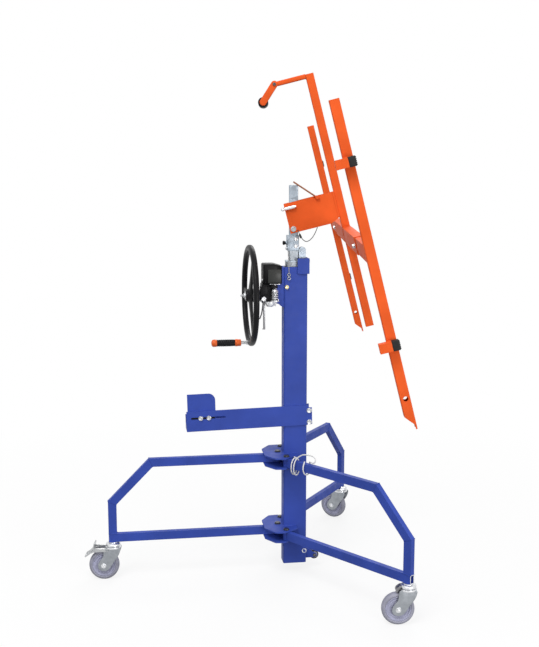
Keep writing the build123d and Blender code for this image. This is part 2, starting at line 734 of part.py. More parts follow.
def biarc(p0, t0, p1, t1):
    """Two tangent arcs between two points with given directions."""
    v = p1 - p0
    t = t0 + t1
    a = 2 * (1 - t0.dot(t1))
    b = 2 * v.dot(t)
    c = -v.dot(v)
    d = (-b + math.sqrt(b * b - 4 * a * c)) / (2 * a)
    joint = (p0 + p1 + (t0 - t1) * d) * 0.5
    first = TangentArc(p0, joint, tangent=t0)
    second = TangentArc(joint, p1, tangent=first % 1)
    return [first.edge(), second.edge()]


def brake_spring():
    """Coil spring of the brake, one helix on quarter-turn arcs."""
    gap = SPRING_WIRE_R + 0.3
    z0 = SPRING_BOTTOM + gap
    rise = SPRING_TOP - SPRING_BOTTOM - 2 * gap
    steps = 4 * SPRING_TURNS
    pitch = rise / SPRING_TURNS
    print("spring gap between turns", round(pitch - 2 * SPRING_WIRE_R, 2), "mm")
    edges = []
    for i in range(steps):
        ends = []
        for k in (i, i + 1):
            turn = math.pi / 2 * k
            place = Vector(SPRING_R * math.cos(turn), SPRING_R * math.sin(turn), rise * k / steps)
            slope = Vector(-SPRING_R * math.sin(turn), SPRING_R * math.cos(turn), pitch / (2 * math.pi))
            ends.append((place, slope.normalized()))
        edges.extend(biarc(ends[0][0], ends[0][1], ends[1][0], ends[1][1]))
    path = Wire(edges)
    start = Plane(origin=path @ 0, z_dir=path % 0)
    coil = sweep(start * Circle(SPRING_WIRE_R), path=path)
    return Pos(BRAKE_X, BRAKE_Y, z0) * coil


def release_lever():
    """Flat steel lever that hangs beside the housing."""
    y1 = MAST_NEAR - 1
    y0 = y1 - 4
    lever = capsule(LEVER_X, LEVER_Z, LEVER_X + 3, LEVER_Z - LEVER_LENGTH, LEVER_WIDTH / 2, y0, y1)
    return lever - rod("Y", LEVER_PIN_R + RUN_FIT, y0 - 1, y1 + 1, LEVER_X, LEVER_Z)


node("winch_bracket", winch_bracket())
node("winch_housing", winch_housing())
node("winch_cover", winch_cover())
node("head_sheave", head_sheave())
node("rope_drum", rope_drum())
node("winch_shaft", winch_shaft(), shaft_nut(), crank_pin())
node("handwheel", handwheel())
node("crank_grip", crank_grip())
node("crank_ends", *crank_ends())
node("brake_arm", brake_arm(), brake_rod())
node("brake_spring", brake_spring())
node("release_lever", release_lever())


# Storage arm with its sliding stop
def arm_slot(y0, y1):
    """Slot for the stop's bolts through a side plate."""
    r = STOP_BOLT_R + RUN_FIT
    return capsule(SLOT_LEFT + r, SLOT_Z, SLOT_RIGHT - r, SLOT_Z, r, y0, y1)


def arm_place():
    """The arm hangs a little low at its free end."""
    return Pos(0, 0, SLOT_Z) * Rot(0, -ARM_TILT, 0) * Pos(0, 0, -SLOT_Z)


def storage_arm():
    """Two side plates on the mast joined by an end web; the far plate steps down behind the mast."""
    near0 = MAST_NEAR - ARM_PLATE
    far1 = MAST_FAR + ARM_PLATE
    ear = [
        (ARM_LEFT, ARM_BOTTOM), (MAST_RIGHT, ARM_BOTTOM), (MAST_RIGHT + EAR_LOW, ARM_BOTTOM + EAR_LOW),
        (ARM_RIGHT, ARM_BOTTOM + EAR_LOW), (ARM_RIGHT, ARM_TOP - EAR_DROP), (MAST_RIGHT + EAR_DROP, ARM_TOP - EAR_DROP),
        (MAST_RIGHT, ARM_TOP),
    ]
    low = ARM_TOP - ARM_STEP
    near = side_plate(ear + [(ARM_LEFT, ARM_TOP)], near0, MAST_NEAR)
    high = MAST_LEFT + ARM_STEP_IN
    step = [(high, ARM_TOP), (high - ARM_STEP, low), (ARM_LEFT, low)]
    far = side_plate(ear + step, MAST_FAR, far1)
    web = block(ARM_LEFT, ARM_LEFT + ARM_PLATE, near0, far1, ARM_BOTTOM, STOP_BOTTOM - 4)
    arm = near + far + web - arm_slot(near0 - 1, MAST_NEAR + 1)
    for z in (ARM_BOTTOM + ARM_BOLT_LOW, ARM_TOP - ARM_BOLT_DROP):
        arm = arm - rod("Y", 5, -99, 99, ARM_RIGHT - ARM_BOLT_INSET, z)
    return arm_place() * arm


def arm_bolts():
    """Two clamp bolts through the arm's plates beside the mast."""
    y0 = MAST_NEAR - ARM_PLATE
    y1 = MAST_FAR + ARM_PLATE
    x = ARM_RIGHT - ARM_BOLT_INSET
    bolts = []
    for z in (ARM_BOTTOM + ARM_BOLT_LOW, ARM_TOP - ARM_BOLT_DROP):
        shank = rod("Y", 5, y0, y1, x, z)
        bolt = shank + hexagon("Y", 9, y0 - 6, y0, x, z) + hexagon("Y", 9, y1, y1 + 7, x, z)
        bolts.append(arm_place() * bolt)
    return bolts


def stop_plate():
    """Upright stop behind the near plate."""
    y1 = MAST_NEAR + FACE_GAP + STOP_T
    y0 = MAST_NEAR + FACE_GAP
    right = STOP_LEFT + STOP_WIDTH
    plate = block(STOP_LEFT, right, y0, y1, STOP_BOTTOM, STOP_TOP)
    corner = plate.edges().filter_by(Axis.Y).group_by(Axis.Z)[-1].sort_by(Axis.X)[-1]
    plate = fillet(corner, 26)
    for i in range(2):
        plate = plate - rod("Y", STOP_BOLT_R, y0 - 1, y1 + 1, STOP_BOLT_X + i * STOP_BOLT_STEP, SLOT_Z)
    return arm_place() * plate


def stop_bolts():
    """Bolts that ride in the arm's slot with the stop."""
    outer = MAST_NEAR - ARM_PLATE - FACE_GAP
    inner = MAST_NEAR + FACE_GAP + STOP_T
    bolts = []
    for i in range(2):
        x = STOP_BOLT_X + i * STOP_BOLT_STEP
        shank = rod("Y", STOP_BOLT_R, outer, inner, x, SLOT_Z)
        head = hexagon("Y", 8, outer - 6, outer, x, SLOT_Z)
        bolts.append(arm_place() * (shank + head + hexagon("Y", 8, inner, inner + 6, x, SLOT_Z)))
    return bolts


# Foot roller
def roller_bracket():
    """Fork on the mast's foot."""
    inside = ROLLER_W / 2 + SIDE_GAP
    outside = inside + 4
    back = block(MAST_RIGHT, MAST_RIGHT + 4, -outside, outside, ROLLER_Z - ROLLER_EYE, ROLLER_Z + 30)
    side = [
        (MAST_RIGHT, ROLLER_Z - ROLLER_EYE), (MAST_RIGHT, ROLLER_Z + 30), (MAST_RIGHT + 8, ROLLER_Z + 30),
        (ROLLER_X, ROLLER_Z + ROLLER_EYE), (ROLLER_X, ROLLER_Z - ROLLER_EYE),
    ]
    fork = back
    for y0, y1 in ((-outside, -inside), (inside, outside)):
        fork = fork + side_plate(side, y0, y1) + rod("Y", ROLLER_EYE, y0, y1, ROLLER_X, ROLLER_Z)
    return fork - rod("Y", ROLLER_PIN_R, -99, 99, ROLLER_X, ROLLER_Z)


def foot_roller():
    """Small roller at the mast's foot."""
    half = ROLLER_W / 2
    return ring("Y", ROLLER_R, ROLLER_PIN_R + RUN_FIT, -half, half, ROLLER_X, ROLLER_Z)


def headed_pin(radius, y0, y1, x, z):
    """Pin along Y with a low head at both ends."""
    pin = rod("Y", radius, y0, y1, x, z)
    return pin + rod("Y", radius + 3, y0 - 3, y0, x, z) + rod("Y", radius + 3, y1, y1 + 3, x, z)


def frame_bolts():
    """Bolts and pins that stay with the mast."""
    roller_y = ROLLER_W / 2 + SIDE_GAP + 4
    lever_y = MAST_NEAR - 6
    return [
        hexagon("Y", HEAD_BOLT_R, MAST_NEAR - 7, MAST_NEAR, MAST_LEFT + HEAD_BOLT_INSET, HEAD_BOLT_Z),
        hexagon("Y", 5, MAST_NEAR - 5, MAST_NEAR, MAST_RIGHT - 8, FOOT_BOLT_Z),
        hexagon("X", 7, MAST_RIGHT + ANCHOR_T, MAST_RIGHT + ANCHOR_T + 7, 0, ANCHOR_TOP - 13),
        rod("Y", SHEAVE_PIN_R, MAST_NEAR, MAST_FAR, SHEAVE_X, SHEAVE_Z),
        headed_pin(ROLLER_PIN_R, -roller_y, roller_y, ROLLER_X, ROLLER_Z),
        rod("Y", LEVER_PIN_R, lever_y, MAST_NEAR, LEVER_X, LEVER_Z)
        + hexagon("Y", 8, lever_y - 5, lever_y, LEVER_X, LEVER_Z),
    ]


# Legs
def offset_points(points, distance):
    """Mitred offset of a polyline in the X-Z plane."""
    result = []
    for i, point in enumerate(points):
        before = points[max(i - 1, 0)]
        after = points[min(i + 1, len(points) - 1)]
        a = Vector(point[0] - before[0], point[1] - before[1])
        b = Vector(after[0] - point[0], after[1] - point[1])
        a = b if a.length == 0 else a
        b = a if b.length == 0 else b
        a = a.normalized()
        b = b.normalized()
        normal = Vector(-a.Y - b.Y, a.X + b.X).normalized()
        reach = distance / normal.dot(Vector(-a.Y, a.X))
        result.append((point[0] + normal.X * reach, point[1] + normal.Y * reach))
    return result


def bent_bar(points, height, thickness):
    """Flat bar of constant height along a polyline in the X-Z plane."""
    upper = offset_points(points, height / 2)
    lower = offset_points(points, -height / 2)
    return side_plate(upper + lower[::-1], -thickness / 2, thickness / 2)


def leg_frame(pin_at, post):
    """Leg frame of one bent tube on a straight lower tube, along local X."""
    end = post + LEG_H / 2
    bent = [(pin_at, LEG_UP_Z), (post - KNEE_RUN, LEG_UP_Z), (post, LEG_KNEE_Z), (post, LEG_LOW_Z)]
    low = [(pin_at, LEG_LOW_Z), (end, LEG_LOW_Z)]
    hollow_h = LEG_H - 2 * LEG_WALL
    hollow_t = LEG_T - 2 * LEG_WALL
    inner_start = pin_at + BARREL_R + 1
    bent_in = [(inner_start, LEG_UP_Z)] + bent[1:]
    low_in = [(inner_start, LEG_LOW_Z), (end + 1, LEG_LOW_Z)]
    frame = bent_bar(bent, LEG_H, LEG_T) + bent_bar(low, LEG_H, LEG_T)
    frame = frame - bent_bar(bent_in, hollow_h, hollow_t) - bent_bar(low_in, hollow_h, hollow_t)
    stem_z = LEG_LOW_Z - LEG_H / 2
    boss = rod("Z", STEM_R + 3, stem_z + 0.5, stem_z + STEM_LENGTH + 4, post, 0)
    frame = frame + boss
    for z in (LEG_UP_Z, LEG_LOW_Z):
        frame = frame + rod("Z", BARREL_R, z - LEG_H / 2, z + LEG_H / 2, pin_at, 0)
        frame = frame - rod("Z", HINGE_PIN_R + RUN_FIT, z - LEG_H, z + LEG_H, pin_at, 0)
    return frame - rod("Z", STEM_R + RUN_FIT, stem_z - 1, stem_z + STEM_LENGTH + 1, post, 0)


def leg_place(start_x, angle):
    """Frame of a leg whose local X points along the floor at an angle."""
    return Pos(start_x, 0, 0) * Rot(0, 0, angle)


def hinge_spots():
    """Plan places of the rear bolt and the two front hinge pins."""
    turn = math.radians(LEG_ANGLE)
    x = FRONT_X + HINGE_R * math.cos(turn)
    y = HINGE_R * math.sin(turn)
    return [(REAR_X - REAR_R, 0), (x, -y), (x, y)]


def leg_bracket(z):
    """Two plates round the mast that hold the legs' ends."""
    corner = WING_SIDE * 0.45
    turn = math.radians(LEG_ANGLE)
    nose = HINGE_R + WING_NOSE
    nose_x = FRONT_X + nose * math.cos(turn)
    nose_y = nose * math.sin(turn)
    side_x = nose_x - (WING_SIDE - nose_y) * math.tan(turn)
    front_y = nose_y - (WING_FRONT - nose_x) / math.tan(turn)
    outline = [
        (WING_BACK, -corner), (WING_BACK + 34, -WING_SIDE + 4), (side_x, -WING_SIDE),
        (WING_FRONT, -front_y), (WING_FRONT, front_y),
        (side_x, WING_SIDE), (WING_BACK + 34, WING_SIDE - 4), (WING_BACK, corner),
    ]
    face = Polygon(*outline, align=None)
    face = fillet(face.vertices(), 10)
    face = face - Pos(MAST_W / 2, 0) * Rectangle(2 * MAST_W, MAST_D)
    for x, y in hinge_spots():
        face = face - Pos(x, y) * Circle(HINGE_PIN_R)
    half = LEG_H / 2 + SIDE_GAP
    upper = Pos(0, 0, z + half) * extrude(face, WING_T)
    lower = Pos(0, 0, z - half - WING_T) * extrude(face, WING_T)
    return [upper, lower]


def leg_pins():
    """Upright pins through the bracket plates."""
    pins = []
    for z in (LEG_UP_Z, LEG_LOW_Z):
        z0 = z - LEG_H / 2 - SIDE_GAP - WING_T
        z1 = z + LEG_H / 2 + SIDE_GAP + WING_T
        for x, y in hinge_spots():
            pin = rod("Z", HINGE_PIN_R, z0, z1, x, y)
            pins.append(pin + hexagon("Z", 11, z1, z1 + 6, x, y) + hexagon("Z", 11, z0 - 6, z0, x, y))
    return pins


# Casters
def caster_fork():
    """Zinc fork with its race and stem, turning on local Z; it trails along local X."""
    y_in = TYRE_W / 2 + 2
    y_out = y_in + FORK_T
    side = [
        (-26, CROWN_Z), (26, CROWN_Z), (38, CROWN_Z - 28), (TRAIL + 20, WHEEL_RADIUS + 10),
        (TRAIL + 20, WHEEL_RADIUS - 9), (TRAIL + 9, WHEEL_RADIUS - 20), (TRAIL - 9, WHEEL_RADIUS - 20),
        (TRAIL - 22, WHEEL_RADIUS - 8), (4, WHEEL_RADIUS + 20), (-26, CROWN_Z - 20),
    ]
    fork = side_plate(side, -y_out, -y_in) + side_plate(side, y_in, y_out)
    fork = fork + block(-24, 24, -y_out, y_out, CROWN_Z - 5, CROWN_Z)
    top = LEG_LOW_Z - LEG_H / 2 - FACE_GAP
    fork = fork + rod("Z", CROWN_R, CROWN_Z, top - 6, 0, 0)
    fork = fork + rod("Z", CROWN_R - 5, top - 6, top, 0, 0)
    fork = fork + rod("Z", STEM_R, top, top + STEM_LENGTH, 0, 0)
    return fork - rod("Y", AXLE_R, -99, 99, TRAIL, WHEEL_RADIUS)


def caster_axle():
    """Axle bolt of a caster."""
    y = TYRE_W / 2 + 2 + FORK_T
    bolt = rod("Y", AXLE_R, -y, y, TRAIL, WHEEL_RADIUS)
    bolt = bolt + hexagon("Y", 9, -y - 5, -y, TRAIL, WHEEL_RADIUS)
    return bolt + hexagon("Y", 9, y, y + 6, TRAIL, WHEEL_RADIUS)


def caster_tyre():
    """Tyre with rounded shoulders."""
    half = TYRE_W / 2
    tyre = ring("Y", WHEEL_RADIUS, WHEEL_RADIUS - TYRE_T, -half, half, TRAIL, WHEEL_RADIUS)
    rims = tyre.edges().filter_by(GeomType.CIRCLE).group_by(SortBy.RADIUS)[-1]
    return fillet(rims, 6)


def caster_hub():
    """Wheel centre with a boss on the axle."""
    half = TYRE_W / 2
    web = ring("Y", WHEEL_RADIUS - TYRE_T, AXLE_R + RUN_FIT, -half + 6, half - 6, TRAIL, WHEEL_RADIUS)
    boss = ring("Y", AXLE_R + 8, AXLE_R + RUN_FIT, -half - 1, half + 1, TRAIL, WHEEL_RADIUS)
    return web + boss


def brake_pedal():
    """Foot pedal hinged on the rear caster's fork, bent round the tyre, with its brake shoe."""
    y_out = TYRE_W / 2 + 2 + FORK_T
    px = PEDAL_X
    pz = CROWN_Z - PEDAL_DROP
    pedal = bent_bar([(px + 48, pz + 25), (px + 52, pz + 6), (px + 66, pz - 14), (px + 84, pz - 26)], 5, 2 * y_out + 7)
    pedal = pedal + rod("Y", 6, -12, 12, px + 61, pz - 10)
    for side in (-1, 1):
        y0 = min(side * (y_out + 0.5), side * (y_out + 3.5))
        y1 = max(side * (y_out + 0.5), side * (y_out + 3.5))
        pedal = pedal + capsule(px, pz, px + 54, pz - 2, 6, y0, y1)
    return pedal - rod("Y", 3 + RUN_FIT, -99, 99, px, pz)


def pedal_pin():
    """Two stub pins that carry the brake pedal."""
    y0 = TYRE_W / 2 + 2
    y1 = y0 + FORK_T + 5
    pins = []
    for side in (-1, 1):
        a = min(side * y0, side * y1)
        b = max(side * y0, side * y1)
        pins.append(rod("Y", 3, a, b, PEDAL_X, CROWN_Z - PEDAL_DROP))
    return pins


def casters():
    """Three casters at their rest turns, the rear one with a brake."""
    spots = (
        ("rear", REAR_X, 180.0, REAR_POST, REAR_TURN),
        ("near", FRONT_X, -LEG_ANGLE, FRONT_POST, NEAR_TURN),
        ("far", FRONT_X, LEG_ANGLE, FRONT_POST, FAR_TURN),
    )
    for name, start_x, angle, post, turn in spots:
        a = math.radians(angle)
        place = Pos(start_x + post * math.cos(a), post * math.sin(a), 0) * Rot(0, 0, turn)
        fork = caster_fork()
        if name == "rear":
            pins = pedal_pin()
            fork = fork + pins[0] + pins[1]
            node("rear_brake_pedal", place * brake_pedal())
        node(name + "_caster_fork", place * fork, place * caster_axle())
        node(name + "_caster_wheel", place * caster_tyre(), place * caster_hub())


node("storage_arm", storage_arm())
node("stop_plate", stop_plate())
node("stop_bolts", *stop_bolts())
node("roller_bracket", roller_bracket())
node("foot_roller", foot_roller())
node("frame_bolts", *frame_bolts(), *arm_bolts())
node("rear_leg", leg_place(REAR_X, 180) * leg_frame(REAR_R, REAR_POST))
node("near_leg", leg_place(FRONT_X, -LEG_ANGLE) * leg_frame(HINGE_R, FRONT_POST))
node("far_leg", leg_place(FRONT_X, LEG_ANGLE) * leg_frame(HINGE_R, FRONT_POST))
node("upper_leg_bracket", *leg_bracket(LEG_UP_Z))
node("lower_leg_bracket", *leg_bracket(LEG_LOW_Z))
node("leg_pins", *leg_pins())
casters()


# Carrier, drawn upright about its tilt pivot: local X is outward, local Y across, local Z up the rails
CARRIER = Pos(INNER_X, 0, PIVOT_Z) * Rot(0, 0, YAW) * Rot(0, -TILT, 0)


def tilt_bracket():
    """Orange cheeks round the post, joined by a plate on the centre rail."""
    face_u = RAIL_BACK
    outline = [
        (CHEEK_LEFT, CHEEK_BOTTOM), (CHEEK_LEFT, CHEEK_TOP), (face_u, CHEEK_TOP), (face_u, 2),
        (face_u - 33, CHEEK_BOTTOM),
    ]
    y0 = CHEEK_Y
    y1 = CHEEK_Y + CHEEK_T
    body = side_plate(outline, -y1, -y0) + side_plate(outline, y0, y1)
    body = body + block(face_u - END_PLATE, face_u, -y1, y1, 2, CHEEK_TOP)
    return body - rod("Y", PIVOT_R, -99, 99, 0, 0)


def carrier_bolts():
    """Pivot bolt, lever pin, elbow bolt and beam clamp screws."""
    y = CHEEK_Y + CHEEK_T
    pivot = rod("Y", PIVOT_R, -y, y, 0, 0)
    pivot = pivot + hexagon("Y", 11, -y - 7, -y, 0, 0) + hexagon("Y", 11, y, y + 9, 0, 0)
    lever_pin = rod("Y", 4, -y - 8, -y, ROD_PIVOT_U, ROD_PIVOT_V)
    lever_pin = lever_pin + rod("Y", 6, -y - 11, -y - 8, ROD_PIVOT_U, ROD_PIVOT_V)
    elbow_y = HANDLE_ARM / 2
    near_y = -elbow_y - FACE_GAP - LINK_T - FACE_GAP
    elbow = rod("Y", 5, near_y, elbow_y, ELBOW_U, ELBOW_V)
    elbow = elbow + hexagon("Y", 8, near_y - 5, near_y, ELBOW_U, ELBOW_V)
    elbow = elbow + hexagon("Y", 8, elbow_y, elbow_y + 6, ELBOW_U, ELBOW_V)
    bolts = [pivot, lever_pin, elbow]
    for side in (-1, 1):
        bolts.append(hexagon("X", 8, RAIL_BACK - 9, RAIL_BACK, side * (BEAM_HALF - 30), BEAM_V))
    return bolts


def latch_sleeve():
    """Sleeve of the spring latch on the near cheek."""
    y1 = -(CHEEK_Y + CHEEK_T)
    y_mid = y1 - LATCH_OFFSET
    sleeve = rod("X", LATCH_TUBE_R, LATCH_TUBE, LATCH_TUBE_END, y_mid, LATCH_V)
    foot = block(LATCH_TUBE + 3, LATCH_TUBE_END - 8, y_mid, y1, LATCH_V - 5, LATCH_V + 5)
    return sleeve + foot - rod("X", LATCH_R + RUN_FIT, LATCH_TUBE - 1, LATCH_TUBE_END + 1, y_mid, LATCH_V)


def latch_pin():
    """Spring latch pin with a ball to pull."""
    y_mid = -(CHEEK_Y + CHEEK_T) - LATCH_OFFSET
    pin = rod("X", LATCH_R, LATCH_BACK, LATCH_FRONT, y_mid, LATCH_V)
    ball_u = LATCH_BACK - 3
    ball = Pos(ball_u, y_mid, LATCH_V) * Rot(0, 90, 0) * Sphere(LATCH_BALL_R)
    return pin + ball


def rod_lever():
    """Round rod lever on the near cheek."""
    y1 = -(CHEEK_Y + CHEEK_T) - 0.5
    y0 = y1 - 7
    middle = (y0 + y1) / 2
    eye = rod("Y", 8, y0, y1, ROD_PIVOT_U, ROD_PIVOT_V)
    length = math.hypot(ROD_TIP_U - ROD_PIVOT_U, ROD_TIP_V - ROD_PIVOT_V)
    turn = math.degrees(math.atan2(ROD_TIP_U - ROD_PIVOT_U, ROD_TIP_V - ROD_PIVOT_V))
    bar = Pos(ROD_PIVOT_U, middle, ROD_PIVOT_V) * Rot(0, turn, 0) * Pos(0, 0, length / 2)
    bar = bar * Cylinder(ROD_R, length)
    return eye + bar - rod("Y", 4 + RUN_FIT, y0 - 1, y1 + 1, ROD_PIVOT_U, ROD_PIVOT_V)


def square_rail(v0, v1, y):
    """Square rail tube along local Z."""
    return upright_tube(RAIL, RAIL, RAIL_WALL, RAIL_CORNER, v0, v1, RAIL_BACK + RAIL / 2, y)


def cross_beam():
    """Two outer beam tubes, one on each side of the centre rail."""
    halves = []
    for side in (-1, 1):
        length = BEAM_HALF - RAIL / 2
        outer = Rectangle(RAIL, BEAM_H)
        inner = Rectangle(RAIL - 2 * BEAM_WALL, BEAM_H - 2 * BEAM_WALL)
        tube = extrude(outer - inner, length / 2, both=True)
        place = Pos(RAIL_BACK + RAIL / 2, side * (RAIL / 2 + length / 2), BEAM_V) * Rot(90, 0, 0)
        halves.append(place * tube)
    return halves


def side_rail(side):
    """Side rail with its telescopic arm, hooked foot and pad stubs, welded as one."""
    y = side * SIDE_RAIL_Y
    rail = square_rail(HOOK_TIP, SIDE_RAIL_TOP, y)
    u0 = RAIL_BACK - 1
    u1 = RAIL_FRONT + 1
    low = HOOK_TIP - 1
    tongue = 5.0
    cut = [
        (u0, SIDE_RAIL_BOTTOM), (RAIL_FRONT - tongue, SIDE_RAIL_BOTTOM - HOOK_SLOPE),
        (RAIL_FRONT - tongue, low), (u0, low),
    ]
    rail = rail - side_plate(cut, y - RAIL, y + RAIL)
    rail = rail - rod("Y", 7.5, y - RAIL, y + RAIL, RAIL_BACK + RAIL / 2 + 1, SIDE_RAIL_BOTTOM + 52)
    slack = 2 * SLIDE_GAP
    w = RAIL - 2 * BEAM_WALL - slack
    h = BEAM_H - 2 * BEAM_WALL - slack
    inside = Rectangle(w - 2 * BEAM_WALL, h - 2 * BEAM_WALL)
    length = SIDE_RAIL_Y - RAIL / 2 - REACH_IN
    arm = extrude(Rectangle(w, h) - inside, length / 2, both=True)
    arm = Pos(RAIL_BACK + RAIL / 2, side * (REACH_IN + length / 2), BEAM_V) * Rot(90, 0, 0) * arm
    body = rail + arm
    edge = side * (SIDE_RAIL_Y + RAIL / 2)
    y0 = min(edge, edge + side * STUB)
    y1 = max(edge, edge + side * STUB)
    back = STUB_BACK if side < 0 else RAIL_BACK + 2
    for v in (PAD_UP, PAD_LOW):
        body = body + block(back, PAD_BACK, y0, y1, v - STUB / 2, v + STUB / 2)
    return body


def side_pads(side):
    """Rubber pads on the stubs."""
    edge = side * (SIDE_RAIL_Y + RAIL / 2)
    a = edge + side * 1.0
    b = edge + side * (STUB + 1.0)
    pads = []
    for v in (PAD_UP, PAD_LOW):
        half = STUB / 2 + 1
        pad = block(PAD_BACK, PAD_FRONT, min(a, b), max(a, b), v - half, v + half)
        pads.append(fillet(pad.faces().sort_by(Axis.X)[-1].edges(), 2))
    return pads


def handle_arm():
    """Square arm from the centre rail's head to the elbow."""
    half = HANDLE_ARM / 2
    arm = block(ELBOW_U, RAIL_BACK, -half, half, ELBOW_V - half, ELBOW_V + half)
    arm = arm + rod("Y", half, -half, half, ELBOW_U, ELBOW_V)
    return arm - rod("Y", 5, -99, 99, ELBOW_U, ELBOW_V)


def handle_link():
    """Orange link from the elbow to the grip."""
    y1 = -HANDLE_ARM / 2 - FACE_GAP
    y0 = y1 - LINK_T
    link = capsule(ELBOW_U, ELBOW_V, GRIP_U, GRIP_V, LINK_W / 2, y0, y1)
    return link - rod("Y", 5 + RUN_FIT, y0 - 1, y1 + 1, ELBOW_U, ELBOW_V)


def handle_grip():
    """Black round grip on the link."""
    y0 = -HANDLE_ARM / 2 - FACE_GAP
    grip = rod("Y", GRIP_R, y0, y0 + GRIP_LENGTH, GRIP_U, GRIP_V)
    return fillet(grip.edges().group_by(Axis.Y)[-1], 5)


def bracket_lanyard():
    """Wire that hangs in a loop below the bracket."""
    face = -(CHEEK_Y + CHEEK_T)
    out = face - 6
    points = [
        (15, face, -8), (15, out, -8), (19, out, -38), (33, out, -60), (58, out, -52),
        (88, out, -8), (88, face, -8),
    ]
    return cord(points, WIRE_R)


# Cord tied round the near leg's upper bar
def loop_points(start, turns, step, half_y, half_z, z):
    """Corner points of loose turns round the bar, eight to a turn, from the top."""
    points = []
    stretch = 1 / math.cos(math.pi / 8)
    for i in range(turns * 8):
        turn = 2 * math.pi * (i + 0.5) / 8
        across = stretch * half_y * math.sin(turn)
        up = stretch * half_z * math.cos(turn)
        points.append((start + step * (i + 0.5) / 8, across, z + up))
    return points


def leg_cord():
    """Two loose turns by the bracket, an arch and one turn farther out."""
    first = loop_points(HINGE_R + 34, 2, 13.0, LEG_T / 2 + 9.1, LEG_H / 2 + 16.5, LEG_UP_Z - 6)
    path = [
        (69.0, -3.0, 36.0), (88.0, 0.0, 48.0), (120.0, 3.0, 50.0), (141.0, 3.0, 48.0), (149.0, 2.0, 40.5),
        (149.0, 0.0, 31.0), (141.0, -2.0, 23.5),
    ]
    arch = [(HINGE_R + along, across, LEG_UP_Z + up) for along, across, up in path]
    last = loop_points(HINGE_R + 111, 1, -9.0, LEG_T / 2 + 7.9, LEG_H / 2 + 9.9, LEG_UP_Z - 1)
    return cord(first + arch + last, CORD_R)


node("tilt_bracket", CARRIER * tilt_bracket())
node("carrier_bolts", *[CARRIER * bolt for bolt in carrier_bolts()])
node("latch_sleeve", CARRIER * latch_sleeve())
node("latch_pin", CARRIER * latch_pin())
node("rod_lever", CARRIER * rod_lever())
node("centre_rail", CARRIER * square_rail(CENTRE_BOTTOM, CENTRE_TOP, 0))
node("cross_beam", *[CARRIER * half for half in cross_beam()])
node("near_rail", CARRIER * side_rail(-1))
node("near_pads", *[CARRIER * pad for pad in side_pads(-1)])
node("far_rail", CARRIER * side_rail(1))
node("far_pads", *[CARRIER * pad for pad in side_pads(1)])
node("handle_arm", CARRIER * handle_arm())
node("handle_link", CARRIER * handle_link())
node("handle_grip", CARRIER * handle_grip())
node("bracket_lanyard", CARRIER * bracket_lanyard())
node("leg_cord", leg_place(FRONT_X, -LEG_ANGLE) * leg_cord())

# Write one file per node
os.makedirs("parts", exist_ok=True)
for name, solids in NODES.items():
    shapes = []
    for shape in solids:
        shapes.extend(shape.solids())
    piece = shapes[0] if len(shapes) == 1 else Compound(children=shapes)
    piece.label = name
    export_step(piece, "parts/" + name + ".step")
print("nodes", len(NODES))
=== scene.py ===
import json
import math

import bmesh
import bpy
from mathutils import Matrix, Vector


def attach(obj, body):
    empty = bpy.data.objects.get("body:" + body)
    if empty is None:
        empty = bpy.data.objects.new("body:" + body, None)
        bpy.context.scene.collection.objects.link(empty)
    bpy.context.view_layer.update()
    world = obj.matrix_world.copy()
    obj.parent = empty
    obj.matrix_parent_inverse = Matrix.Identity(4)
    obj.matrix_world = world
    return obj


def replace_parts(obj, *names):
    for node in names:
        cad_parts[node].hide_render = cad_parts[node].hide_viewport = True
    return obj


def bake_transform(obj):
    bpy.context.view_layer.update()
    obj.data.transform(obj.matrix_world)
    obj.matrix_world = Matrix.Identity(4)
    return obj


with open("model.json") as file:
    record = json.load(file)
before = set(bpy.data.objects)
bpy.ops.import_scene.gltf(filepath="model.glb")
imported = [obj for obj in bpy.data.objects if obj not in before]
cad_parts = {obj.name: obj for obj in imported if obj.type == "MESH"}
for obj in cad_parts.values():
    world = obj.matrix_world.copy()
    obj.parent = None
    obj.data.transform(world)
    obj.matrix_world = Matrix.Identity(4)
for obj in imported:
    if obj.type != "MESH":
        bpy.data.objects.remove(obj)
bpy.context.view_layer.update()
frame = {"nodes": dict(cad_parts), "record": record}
NODES = frame["nodes"]
SCENE = bpy.context.scene
SCENE.view_settings.view_transform = "Standard"

# Sizes shared with the solids, in metres and degrees
MM = 0.001
MAST_W = 0.09
MAST_D = 0.06
MAST_TOP = 1.196
WINCH_Z = 1.088
WHEEL_X = -0.169
WHEEL_R = 0.191
RIM_W = 0.022
RIM_T = 0.023
CRANK_Z = WINCH_Z - (WHEEL_R - RIM_T / 2)
REAR_X = -0.048
FRONT_X = -0.096
LEG_ANGLE = 53.6
REAR_POST = 0.654
FRONT_POST = 0.681
KNEE_RUN = 0.149
LEG_UP_Z = 0.455
LEG_LOW_Z = 0.1645
LEG_H = 0.032
LEG_T = 0.02
LEG_WALL = 0.002
LEG_KNEE_Z = 0.303
HINGE_R = 0.092
REAR_R = 0.016
YAW = -8.54
TILT = 14.17
PIVOT = Vector((-0.005, 0.0, 1.338))
RAIL_BACK = 0.178
RAIL = 0.03
SIDE_RAIL_Y = 0.908
CHEEK_FACE = 0.0225
SIDES = (("near", -1), ("far", 1))

# Directions
NEARWARD = (0.0, -1.0, 0.0)
FARWARD = (0.0, 1.0, 0.0)
LEFTWARD = (-1.0, 0.0, 0.0)
DOWNWARD = (0.0, 0.0, -1.0)

# Camera at the photograph's place
LENS = 56.58
SENSOR = 36.0
EYE = (-0.6494, -3.7768, 1.5615)
EYE_DOWN = 8.67
EYE_TURN = -8.34


